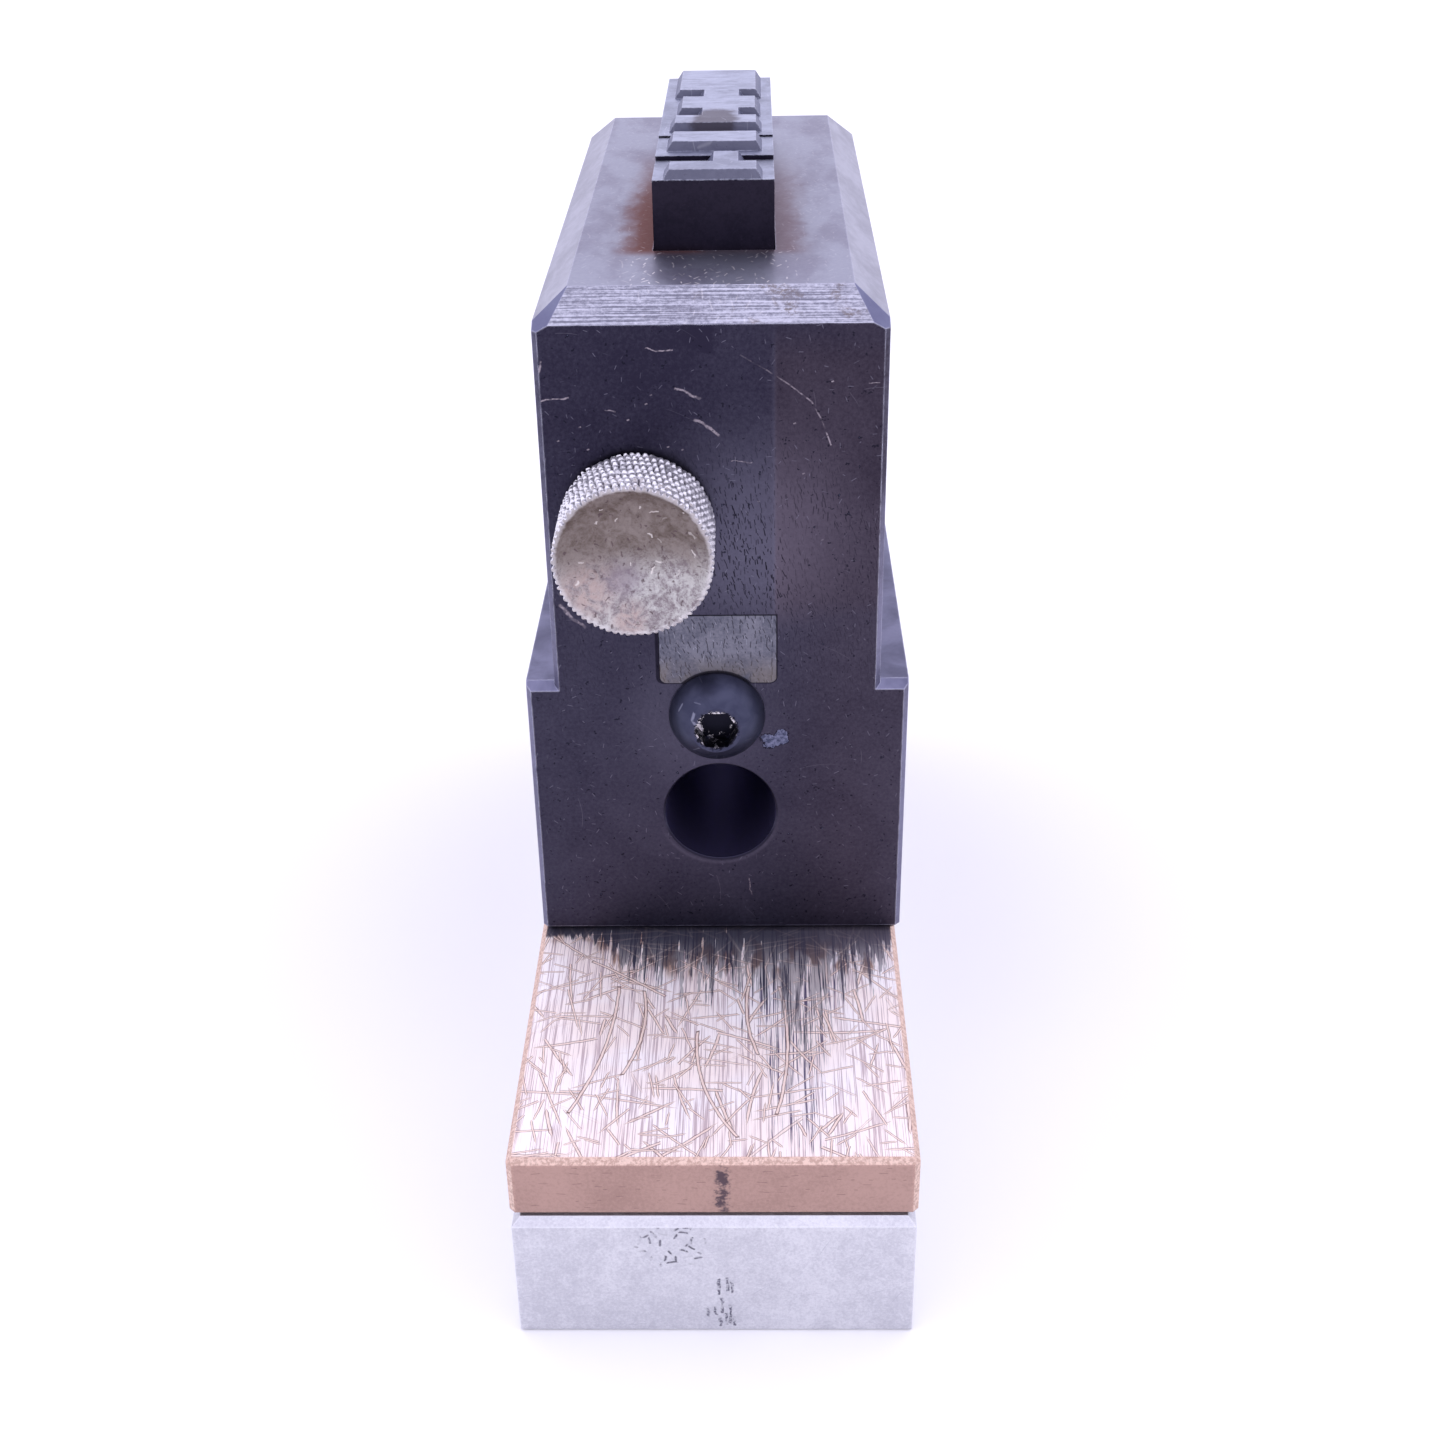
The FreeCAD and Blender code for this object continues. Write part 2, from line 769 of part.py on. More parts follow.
def make_base_dowels():
    dowels = []
    for end in ("dowel_inset", "holder_depth - dowel_inset"):
        dowel = add_part(
            "Cylinder", f"dowel_{len(dowels) + 1}", Radius="dowel_radius", Height="dowel_length"
        )
        foot = "base_height - dowel_base_depth + dowel_end_gap"
        place(dowel, "0", f"{HOLDER_FRONT} + {end}", foot)
        dowels.append(dowel)
    return gather("base_dowels", dowels)


# Checks and export


def stop_on_failure(subparts):
    """Raises if any object failed or any sub-part isn't whole."""
    for thing in document.Objects:
        if {"Invalid", "Error"} & set(thing.State):
            raise RuntimeError(f"{thing.Label} failed: {thing.State}")
    for subpart in subparts:
        shape = subpart.Shape
        if shape.isNull() or not shape.isValid() or not shape.Solids:
            raise RuntimeError(f"{subpart.Label} has no valid solid")


def export(subparts):
    os.makedirs("parts", exist_ok=True)
    for subpart in subparts:
        subpart.Shape.exportStep(f"parts/{subpart.Label}.step")
        print(f"{subpart.Label}: {len(subpart.Shape.Solids)} solid(s), {subpart.Shape.Volume:.1f} mm3")


def main():
    holder_rear = f"{HOLDER_FRONT} + holder_depth"
    subparts = [
        make_aluminium_base(),
        make_copper_plate(),
        make_holder(),
        make_backing_bar(),
        *make_row(),
        make_thumb_knob(),
        make_threaded_sleeve(),
        make_retaining_pin(),
        make_button_screw("button_screw_front", HOLDER_FRONT, FORWARD),
        make_button_screw("button_screw_rear", holder_rear, BACKWARD),
        make_base_screws(),
        make_base_dowels(),
    ]
    document.recompute()
    stop_on_failure(subparts)
    export(subparts)


main()
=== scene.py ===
"""Looks for a marking type holder: a black steel block that carries a row of steel type slugs, with a
knurled thumbscrew, on a copper plate and an aluminium base.

Sizes are in millimetres where a name or a comment says so, and in metres in the meshes, as in the frame.
"""

import json
import math

import bpy
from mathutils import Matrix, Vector, noise


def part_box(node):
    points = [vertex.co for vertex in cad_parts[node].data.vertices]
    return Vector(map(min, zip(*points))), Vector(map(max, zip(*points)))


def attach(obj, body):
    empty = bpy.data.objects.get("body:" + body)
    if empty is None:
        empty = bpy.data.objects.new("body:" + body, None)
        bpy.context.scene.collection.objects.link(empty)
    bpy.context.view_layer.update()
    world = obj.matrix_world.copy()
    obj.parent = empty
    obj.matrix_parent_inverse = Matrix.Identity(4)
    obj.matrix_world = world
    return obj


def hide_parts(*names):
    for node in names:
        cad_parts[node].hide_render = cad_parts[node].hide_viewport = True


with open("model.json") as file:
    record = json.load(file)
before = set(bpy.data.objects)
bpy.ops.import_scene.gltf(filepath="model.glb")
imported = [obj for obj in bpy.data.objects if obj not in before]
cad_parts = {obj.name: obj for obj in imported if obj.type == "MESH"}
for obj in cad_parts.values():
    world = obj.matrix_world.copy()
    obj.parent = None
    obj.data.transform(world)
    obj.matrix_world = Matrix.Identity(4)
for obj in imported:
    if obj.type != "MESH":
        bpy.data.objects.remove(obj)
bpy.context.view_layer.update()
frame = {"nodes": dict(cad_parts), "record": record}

MM = 0.001


def box_mm(node):
    """A CAD node's lowest and highest corners, in millimetres."""
    low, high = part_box(node)
    return low / MM, high / MM


HOLDER_LOW = box_mm("holder_block")[0]
COPPER_LOW, COPPER_HIGH = box_mm("copper_plate")
BASE_HIGH = box_mm("aluminium_base")[1]
BAR_LOW, BAR_HIGH = box_mm("backing_bar")
SLUG_LOW, SLUG_HIGH = box_mm("type_slug_front")
ROW_HIGH = box_mm("type_slug_long")[1]
KNOB_LOW, KNOB_HIGH = box_mm("thumb_knob")
BUTTON_LOW, BUTTON_HIGH = box_mm("button_screw_front")
FRONT = HOLDER_LOW.y
FOOT = HOLDER_LOW.z
KNOB_MID = (KNOB_LOW + KNOB_HIGH) / 2
BUTTON_MID = (BUTTON_LOW + BUTTON_HIGH) / 2
BUTTON_RADIUS = (BUTTON_HIGH.x - BUTTON_LOW.x) / 2

# The round bore, right of the holder's middle and above its foot, and the bar's rounded lower corners.
BORE_MID = (0.0, 15.85)
BORE_RADIUS = 6.0
BAR_CORNER = 0.7


def tone(red, green, blue):
    """A colour given as it looks on a screen, 0 to 255, as the linear colour that a shader takes."""
    linear = []
    for value in (red, green, blue):
        share = value / 255
        linear.append(share / 12.92 if share <= 0.04045 else ((share + 0.055) / 1.055) ** 2.4)
    return (*linear, 1.0)


def circle_centre(first, second, third):
    """The centre of the circle through three points of a plane."""
    a, b = second - first, third - first
    cross = 2 * (a.x * b.y - a.y * b.x)
    across = (b.y * a.length_squared - a.y * b.length_squared) / cross
    along = (a.x * b.length_squared - b.x * a.length_squared) / cross
    return first + Vector((across, along))


# Material nodes as arithmetic

# A Mix node has a set of sockets for each kind of value. These are its factor and its colour ones.
MIX_SHARE, MIX_BELOW, MIX_ABOVE, MIX_RESULT = 0, 6, 7, 2


class Field:
    """A number that varies over a surface: a shader node's output that can be added and multiplied."""

    def __init__(self, paint, socket):
        self.paint = paint
        self.socket = socket

    def __add__(self, other):
        return self.paint.op("ADD", self, other)

    def __sub__(self, other):
        return self.paint.op("SUBTRACT", self, other)

    def __rsub__(self, other):
        return self.paint.op("SUBTRACT", other, self)

    def __mul__(self, other):
        return self.paint.op("MULTIPLY", self, other)

    def __truediv__(self, other):
        return self.paint.op("DIVIDE", self, other)

    __radd__ = __add__

    def power(self, exponent):
        return self.paint.op("POWER", self, exponent)

    def size(self):
        """The number without its sign."""
        return self.paint.op("ABSOLUTE", self)

    def either(self, other):
        """The larger of the two."""
        return self.paint.op("MAXIMUM", self, other)

    def capped(self):
        """The number kept between 0 and 1."""
        return self.paint.op("ADD", self, 0.0, clamp=True)

    def fade(self, start, end):
        """0 at start and before it, 1 at end and past it, smooth between; start may be the larger."""
        node = self.paint.add("ShaderNodeMapRange", interpolation_type="SMOOTHSTEP")
        for name, value in (("Value", self), ("From Min", start), ("From Max", end)):
            self.paint.feed(node.inputs[name], value)
        return Field(self.paint, node.outputs["Result"])


class Paint:
    """One procedural material. Its places are millimetres in the row frame, as they are at rest."""

    def __init__(self, name):
        self.material = bpy.data.materials.new(name)
        self.material.use_nodes = True
        self.tree = self.material.node_tree
        self.shader = self.tree.nodes["Principled BSDF"]
        self.shader.inputs["Metallic"].default_value = 1.0
        coordinates = self.add("ShaderNodeTexCoord")
        self.point = coordinates.outputs["Object"]
        self.x, self.y, self.z = self.split(self.vector("SCALE", self.point, scale=1 / MM))
        self.nx, self.ny, self.nz = self.split(coordinates.outputs["Normal"])

    def add(self, kind, **settings):
        node = self.tree.nodes.new(kind)
        for name, value in settings.items():
            setattr(node, name, value)
        return node

    def feed(self, socket, value):
        """Gives a socket a number, a colour, a Field or another node's output."""
        if isinstance(value, Field):
            value = value.socket
        if isinstance(value, bpy.types.NodeSocket):
            self.tree.links.new(value, socket)
        else:
            socket.default_value = value

    def op(self, operation, *values, clamp=False):
        node = self.add("ShaderNodeMath", operation=operation, use_clamp=clamp)
        for socket, value in zip(node.inputs, values):
            self.feed(socket, value)
        return Field(self, node.outputs[0])

    def vector(self, operation, *values, scale=None):
        node = self.add("ShaderNodeVectorMath", operation=operation)
        for socket, value in zip(node.inputs, values):
            self.feed(socket, value)
        if scale is not None:
            self.feed(node.inputs["Scale"], scale)
        return node.outputs["Value" if operation == "DOT_PRODUCT" else "Vector"]

    def split(self, vector):
        node = self.add("ShaderNodeSeparateXYZ")
        self.feed(node.inputs[0], vector)
        return [Field(self, socket) for socket in node.outputs]

    def join(self, x, y):
        node = self.add("ShaderNodeCombineXYZ")
        for socket, value in zip(node.inputs, (x, y)):
            self.feed(socket, value)
        return node.outputs[0]

    def noise(self, grain, detail=2.0, rough=0.5, stretch=(1, 1, 1), shift=0.0, warp=0.0):
        """Cloudy noise from 0 to 1 with features of about grain millimetres, longer where stretched."""
        moved = self.add("ShaderNodeMapping", vector_type="POINT")
        self.feed(moved.inputs["Vector"], self.point)
        moved.inputs["Location"].default_value = (shift, shift, shift)
        moved.inputs["Scale"].default_value = [1 / (grain * s * MM) for s in stretch]
        node = self.add("ShaderNodeTexNoise")
        place = moved.outputs["Vector"]
        settings = {"Vector": place, "Scale": 1.0, "Detail": detail, "Roughness": rough, "Distortion": warp}
        for name, value in settings.items():
            self.feed(node.inputs[name], value)
        return Field(self, node.outputs["Fac"])

    def mix(self, share, below, above):
        """A colour that goes from below to above as share goes from 0 to 1."""
        node = self.add("ShaderNodeMix", data_type="RGBA", clamp_factor=True)
        for index, value in ((MIX_SHARE, share), (MIX_BELOW, below), (MIX_ABOVE, above)):
            self.feed(node.inputs[index], value)
        return node.outputs[MIX_RESULT]

    def curve(self, value, points):
        """A value read off a given curve: points are (place, height), both from 0 to 1."""
        node = self.add("ShaderNodeValToRGB")
        ramp = node.color_ramp
        ramp.interpolation = "B_SPLINE"
        while len(ramp.elements) < len(points):
            ramp.elements.new(1.0)
        for element, (place, height) in zip(ramp.elements, points):
            element.position = place
            element.color = (height, height, height, 1.0)
        self.feed(node.inputs[0], value)
        return Field(self, node.outputs["Color"])

    def worn_edges(self, radius):
        """1 along edges, fading out within radius millimetres of them.

        A rounded normal leaves the true one only near an edge, so their dot product shows where one is.
        """
        bevel = self.add("ShaderNodeBevel", samples=4)
        bevel.inputs["Radius"].default_value = radius * MM
        geometry = self.add("ShaderNodeNewGeometry")
        turn = self.vector("DOT_PRODUCT", bevel.outputs["Normal"], geometry.outputs["Normal"])
        return Field(self, turn).fade(0.999, 0.93)

    def wobbly(self, plane, grain, reach, shift=0.0):
        """The same plane, pushed about by up to half of reach, so that marks drawn in it are uneven."""
        push = (self.noise(grain, shift=shift) - 0.5) * reach
        pull = (self.noise(grain, shift=shift + 4.7) - 0.5) * reach
        return plane[0] + push, plane[1] + pull

    def line(self, plane, slope, start):
        """A field that is start at a plane's origin and rises evenly across it."""
        rising = self.op("MULTIPLY_ADD", plane[0], slope.x, start)
        return self.op("MULTIPLY_ADD", plane[1], slope.y, rising)

    def away(self, plane, middle=(0.0, 0.0)):
        """How far each point of a plane is from a middle."""
        across, along = plane[0] - middle[0], plane[1] - middle[1]
        return (across * across + along * along).power(0.5)

    def streak(self, plane, start, end, width):
        """1 on a straight mark between two points of a plane, fading out at half its width."""
        start, end = Vector(start), Vector(end)
        length = (end - start).length
        along = (end - start) / length
        side = Vector((-along.y, along.x))
        share = self.line(plane, along / length, -start.dot(along) / length)
        inside = (share - 0.5).size().fade(0.5 + width / 2 / length, 0.5)
        return self.line(plane, side, -start.dot(side)).size().fade(width / 2, width / 6) * inside

    def path(self, plane, points, width):
        """1 on a bent mark through the points of a plane, fading out at half its width."""
        total = self.streak(plane, points[0], points[1], width)
        for start, end in zip(points[1:], points[2:]):
            total = total.either(self.streak(plane, start, end, width))
        return total

    def strokes(self, plane, cell, width, reach, seed, heading=0.0, spread=math.pi, bend=0.0):
        """Random scratches, one in each cell of a plane: how near its middle line, and its own chance.

        heading is the scratches' mean direction and spread how far either way it varies, in radians.
        The first field is 0 on a scratch's middle line and 1 at its edge and past it. The seed moves the
        cells, so that two sets of scratches in one plane differ.
        """
        place = (plane[0] + seed * 17.3) / cell, (plane[1] + seed * 9.1) / cell
        cells = self.add("ShaderNodeTexVoronoi", voronoi_dimensions="2D")
        self.feed(cells.inputs["Vector"], self.join(*place))
        cells.inputs["Scale"].default_value = 1.0
        parts = self.add("ShaderNodeSeparateColor")
        self.feed(parts.inputs[0], cells.outputs["Color"])
        chance = [Field(self, socket) for socket in parts.outputs]
        angle = (chance[0] - 0.5) * (2 * spread) - heading
        cosine, sine = self.op("COSINE", angle), self.op("SINE", angle)
        middle = self.split(cells.outputs["Position"])
        right, ahead = (place[0] - middle[0]) * cell, (place[1] - middle[1]) * cell
        along = right * cosine - ahead * sine
        across = right * sine + ahead * cosine
        across = across + along * along * (chance[2] - 0.5) * bend
        length = chance[1] * reach + reach * 0.3
        taper = along.size().fade(length, length * 0.6)
        return across.size().fade(0.0, taper * width + 0.001), chance[2]

    def arc(self, plane, start, middle, end, width):
        """A curved scratch through three points: 0 on its middle line, 1 at its edge and past it."""
        start, middle, end = (Vector(point) for point in (start, middle, end))
        centre = circle_centre(start, middle, end)
        radius = (start - centre).length
        ring = self.away(plane, centre) - radius
        chord = (end - start) / (end - start).length_squared
        share = self.line(plane, chord, -start.dot(chord))
        return ring.size().fade(0.0, width).either((share - 0.5).size().fade(0.47, 0.5))

    def spot(self, plane, middle, inner, outer):
        """1 within inner millimetres of a point of a plane, fading to 0 at outer."""
        return self.away(plane, middle).fade(outer, inner)

    def bump(self, height, depth):
        """Gives the shader a bump in which a height of 1 is depth millimetres."""
        node = self.add("ShaderNodeBump")
        node.inputs["Distance"].default_value = depth * MM
        self.feed(node.inputs["Height"], height)
        self.feed(self.shader.inputs["Normal"], node.outputs["Normal"])

    def finish(self, color, roughness):
        self.feed(self.shader.inputs["Base Color"], color)
        self.feed(self.shader.inputs["Roughness"], roughness)
        return self.material


# Steel of the holder

# Marks in the front face, in millimetres right of its middle and above the holder's foot.
LONG_SCRATCH = [(2.8, 67.1), (5.3, 65.6), (7.5, 64.1), (9.6, 62.4), (10.6, 60.5), (11.5, 58.0)]
SHORT_SCRATCHES = [
    ([(-3.4, 63.8), (-2.2, 63.4), (-1.2, 62.8)], 0.34),
    ([(-1.7, 60.6), (-0.7, 60.2), (0.6, 59.2)], 0.38),
    ([(-6.2, 67.8), (-5.2, 67.5), (-3.7, 67.7)], 0.22),
    ([(1.9, 56.4), (3.8, 56.3)], 0.12),
    ([(-15.7, 40.8), (-14.8, 39.6), (-13.5, 38.4)], 0.5),
    ([(-10.2, 61.7), (-9.4, 61.5)], 0.14),
    ([(15.0, 64.3), (16.1, 64.2)], 0.14),
    ([(-16.6, 64.9), (-16.2, 66.6)], 0.3),
    ([(-16.7, 62.8), (-15.2, 62.9), (-13.8, 63.0)], 0.2),
    ([(3.2, 7.2), (3.4, 5.0)], 0.14),
]
SPECKS = [
    (-6.4, 62.3), (-5.9, 63.2), (-8.2, 60.7), (-3.0, 57.6), (-4.4, 57.9), (-15.1, 58.6), (-12.2, 57.7),
    (11.5, 64.4), (7.9, 60.2), (10.7, 47.9), (-12.9, 60.0), (4.4, 52.1), (-1.4, 52.8), (8.8, 55.0),
]
CHIP = [(5.3, 24.7), (6.0, 24.8), (6.9, 25.3)]

# Middles of the painted sheen on the face, behind the knob and round the screw, and of a dark patch.
SHEEN_MID = (3.5, 49.0)
SCREW_SHEEN_MID = (-2.0, 27.0)
DARK_PATCH = (-1.0, 68.6)

# How far right of the middle a faint upright line stands, past which the finish turns warmer.
SEAM = 6.0


def front_steel(paint, front, rise, cloud, fine):
    """The colour of the holder's upright faces, with the painted sheen and the marks of its front face."""
    on_front = paint.ny.fade(-0.9, -0.98) * (paint.y - FRONT).fade(0.4, 0.1)
    above = rise.fade(36.0, 42.0) * rise.fade(72.0, 66.0)
    warm = (paint.x.fade(SEAM - 0.2, SEAM + 0.3) * above).either(paint.x.fade(3.0, 15.0) * 0.6)
    # Painted sheen: besides random tone, the face is painted paler behind the knob and round the screw, and
    # lighter lower down and at its upper right, standing in for the tent's reflection in the dark oxide; a
    # patch near its top is darker.
    sheen = paint.spot(front, SHEEN_MID, 2.0, 15.0).either(paint.spot(front, SCREW_SHEEN_MID, 3.0, 11.0) * 0.5)
    shade = (cloud - 0.5) * 0.4 + (fine - 0.5) * 0.5 + rise.fade(60.0, 42.0) * 0.14 + sheen * 0.54 + 0.06
    shade = shade + paint.x.fade(3.0, 13.0) * rise.fade(50.0, 66.0) * 0.1 + rise.fade(30.0, 8.0) * 0.05
    shade = shade - paint.spot(paint.wobbly(front, 1.0, 2.4), DARK_PATCH, 0.6, 1.7) * 0.2
    shade = shade + (paint.x - SEAM).size().fade(0.4, 0.0) * above * 0.14
    face = paint.mix(warm, tone(43, 40, 56), tone(49, 43, 55))
    face = paint.mix(shade.capped(), face, paint.mix(warm, tone(98, 96, 113), tone(104, 96, 110)))

    # Upright dark flecks in the lower middle, then scattered fine scratches and specks
    worn_part = (sheen * 0.9 + rise.fade(60.0, 48.0) * 0.35) * rise.fade(24.0, 36.0)
    worn_part = worn_part * on_front * cloud.fade(0.3, 0.6)
    for cell, width, seed in ((0.55, 0.075, 7), (0.75, 0.09, 12)):
        flecks, chance = paint.strokes(front, cell, width, cell * 0.7, seed, heading=1.75, spread=0.3)
        face = paint.mix((1.0 - flecks) * chance.fade(0.2, 0.7) * worn_part, face, tone(24, 22, 32))
    scratches, chance = paint.strokes(front, 1.2, 0.06, 0.3, 1)
    short = (1.0 - scratches) * chance.fade(0.6, 0.95) * on_front
    face = paint.mix(short * 0.34, face, tone(150, 148, 166))
    scratches, chance = paint.strokes(front, 5.0, 0.05, 2.0, 2, heading=-0.7, spread=0.9, bend=0.15)
    long = (1.0 - scratches) * chance.fade(0.65, 0.95) * on_front
    face = paint.mix(long * 0.2, face, tone(140, 136, 150))

    uneven = paint.wobbly(front, 1.1, 0.6, shift=2.0)
    broken = paint.noise(0.9, shift=3.0).fade(0.36, 0.56)
    marks = paint.path(front, LONG_SCRATCH, 0.2) * broken * rise.fade(69.0, 61.0)
    for points, width in SHORT_SCRATCHES:
        marks = marks.either(paint.path(uneven, points, width))
    for x, z in SPECKS:
        marks = marks.either(paint.streak(front, (x, z), (x + 0.14, z + 0.05), 0.2))
    ragged = paint.noise(0.6, detail=2.0, rough=0.7, shift=8.0)
    marks = marks * (0.2 + ragged.fade(0.4, 0.6) * 0.65)
    face = paint.mix(marks * on_front, face, tone(158, 148, 156))
    chip = paint.path(uneven, CHIP, 2.3) * 0.8 + (ragged - 0.5) * 1.7
    face = paint.mix(chip.fade(0.26, 0.36) * on_front * 0.8, face, tone(24, 24, 36))
    flake = paint.mix(fine.fade(0.35, 0.65), tone(66, 70, 92), tone(116, 120, 146))
    return paint.mix(chip.fade(0.44, 0.52) * on_front, face, flake)


def top_steel(paint, upward):
    """The colour of the holder's top, and where it is rusty: hazy grey, with milled bevels."""
    plane = paint.x, paint.y
    behind = paint.y - FRONT
    haze = paint.noise(5.0, detail=2.0, rough=0.45, stretch=(1.0, 2.6, 1.0), shift=5.0, warp=0.6)
    mottle = paint.noise(1.4, detail=3.0, rough=0.6, stretch=(1.0, 1.8, 1.0), shift=6.3, warp=0.5)
    flat = paint.mix((haze * 0.7 + mottle * 0.3).fade(0.36, 0.62), tone(129, 127, 146), tone(149, 150, 167))
    besides = paint.x.size() - (SLUG_HIGH.x - SLUG_LOW.x) / 2
    along = behind.fade(12.5, 15.5) * behind.fade(62.0, 30.0)
    spread = besides + (haze - 0.5) * 2.0 + (mottle - 0.5) * 2.0
    rust = spread.fade(4.5, 1.2) * along * (0.45 + paint.x.fade(0.0, -2.0) * 0.55)
    flat = paint.mix(rust, flat, tone(122, 62, 42))
    # Grime beside the type row.
    grime_and_shade = spread.fade(7.0, 1.0) * behind.fade(56.0, 30.0) * behind.fade(8.0, 16.0)
    flat = paint.mix(grime_and_shade * 0.3, flat, tone(104, 98, 110))
    nicks, chance = paint.strokes(plane, 1.0, 0.11, 0.5, 4, heading=1.5, spread=0.9)
    ahead = behind.fade(17.5, 14.0) * paint.x.size().fade(9.5, 5.5)
    nick = (1.0 - nicks) * chance.fade(0.4, 0.8) * (ahead * 0.75 + 0.12)
    flat = paint.mix(nick, flat, tone(244, 238, 240))
    milled = paint.noise(0.16, detail=2.0, rough=0.7, stretch=(70.0, 1.0, 1.0), shift=1.0)
    grain = paint.noise(0.35, detail=3.0, rough=0.8, stretch=(1.6, 1.0, 1.0), shift=7.0)
    cuts = (milled * 0.6 + grain * 0.4).fade(0.4, 0.62)
    bevel = paint.mix(cuts, tone(104, 104, 118), tone(192, 192, 206))
    stain = paint.noise(2.6, detail=3.0, shift=9.0).fade(0.5, 0.66) * paint.x.fade(-6.0, 8.0)
    bevel = paint.mix(stain * grain.fade(0.6, 0.4) * 0.8, bevel, tone(110, 98, 90))
    cloudy = (haze * 0.5 + mottle * 0.5).fade(0.35, 0.65)
    sides = paint.mix(cloudy, tone(154, 154, 168), tone(176, 176, 190))
    is_side = paint.nx.size().fade(0.5, 0.6)
    bevel = paint.mix(is_side, bevel, sides)
    # Painted shade: the corner mitre facets are painted darker and bluer than the bevels.
    shaded_facet = paint.nx.size().fade(0.2, 0.3) * paint.ny.size().fade(0.2, 0.3)
    bevel = paint.mix(shaded_facet, bevel, tone(92, 95, 128))
    return paint.mix(upward.power(3.0), bevel, flat), rust


def black_steel():
    """Black oxide over ground steel: dark upright faces, and a worn and rust-stained top."""
    paint = Paint("black_oxide_steel")
    rise = paint.z - FOOT
    front = paint.x, rise
    upward = paint.nz.fade(0.6, 0.9)
    sloped = paint.nz.fade(0.15, 0.35)
    is_top = sloped * rise.fade(60.0, 65.0)
    cloud = paint.noise(9.0, detail=4.0, rough=0.6, warp=0.5)
    fine = paint.noise(0.4, detail=3.0, rough=0.7)
    face = front_steel(paint, front, rise, cloud, fine)

    # The bore's rim stays dark. Upright corners are worn to a lavender grey, above the shoulders only in
    # their outer part
    from_bore = paint.away(front, BORE_MID)
    at_bore = from_bore.fade(BORE_RADIUS + 1.2, BORE_RADIUS + 0.5) * (paint.y - FRONT).fade(1.5, 0.6)
    corner = paint.nx.size().fade(0.35, 0.5) * paint.ny.size().fade(0.35, 0.5) * (1.0 - at_bore)
    corner = corner * paint.x.size().fade(16.3, 16.7).either(rise.fade(44.0, 34.0))
    patchy = (cloud * 0.6 + fine * 0.4).fade(0.35, 0.65)
    wear = 0.04 + patchy * 0.26 + rise.fade(60.0, 36.0) * 0.36
    face = paint.mix(corner * wear, face, tone(146, 145, 172))
    shoulder = paint.mix(cloud.fade(0.35, 0.65), tone(98, 98, 122), tone(130, 130, 156))
    color = paint.mix(sloped * (1.0 - at_bore), face, shoulder)
    top, rust = top_steel(paint, upward)
    color = paint.mix(is_top, color, top)

    # Edges are worn bright, but not at the bore and round the bar, where a thin dark line of painted shade
    # marks the gap
    around_bar = (paint.x.size() - BAR_HIGH.x).fade(0.5, 0.4) * (paint.z - BAR_HIGH.z).fade(0.5, 0.4)
    around_bar = around_bar * (paint.z - BAR_LOW.z).fade(-0.5, -0.4) * (1.0 - is_top)
    worn = paint.worn_edges(0.22) * paint.noise(1.3, detail=3.0, shift=4.0).fade(0.2, 0.6)
    worn = worn * (1.0 - at_bore) * (1.0 - around_bar)
    color = paint.mix(worn * 0.7, color, tone(190, 190, 208))
    color = paint.mix(at_bore * sloped, color, tone(40, 38, 50))
    # Painted shade: a thin dark line in the gap round the bar's sides and top.
    aside = (paint.x.size() - (BAR_HIGH.x - BAR_CORNER)).either(0.0)
    under = ((BAR_LOW.z + BAR_CORNER) - paint.z).either(0.0)
    beyond = paint.away((aside, under)) - BAR_CORNER
    gap_shade = beyond.either(paint.z - BAR_HIGH.z).fade(0.17, 0.06)
    color = paint.mix(gap_shade * (1.0 - is_top) * rise.fade(26.0, 27.0) * 0.8, color, tone(24, 22, 32))

    # Bore: lighter oxide inside and a faint painted highlight along its rim's lower half
    inside = from_bore.fade(BORE_RADIUS + 0.3, BORE_RADIUS + 0.1) * (paint.y - FRONT).fade(0.1, 0.5)
    inside = inside * rise.fade(23.0, 22.5)
    color = paint.mix(inside, color, tone(112, 106, 150))
    # Painted highlight: a faint bright line just outside the bore's lower rim.
    rim_highlight = (from_bore - (BORE_RADIUS + 0.5)).size().fade(0.35, 0.0) * rise.fade(15.0, 11.0)
    rim_highlight = rim_highlight * (paint.y - FRONT).fade(0.4, 0.1)
    color = paint.mix(rim_highlight * 0.14, color, tone(134, 130, 148))
    roughness = 0.44 + (fine - 0.5) * 0.2 + rust * is_top * 0.2
    milled = paint.noise(0.2, detail=2.0, stretch=(30.0, 1.0, 1.0), shift=1.0)
    paint.bump(fine * 0.3 + milled * is_top * (1.0 - upward) * 1.2, 0.015)
    return paint.finish(color, roughness)


# Bar, type, screws and pins


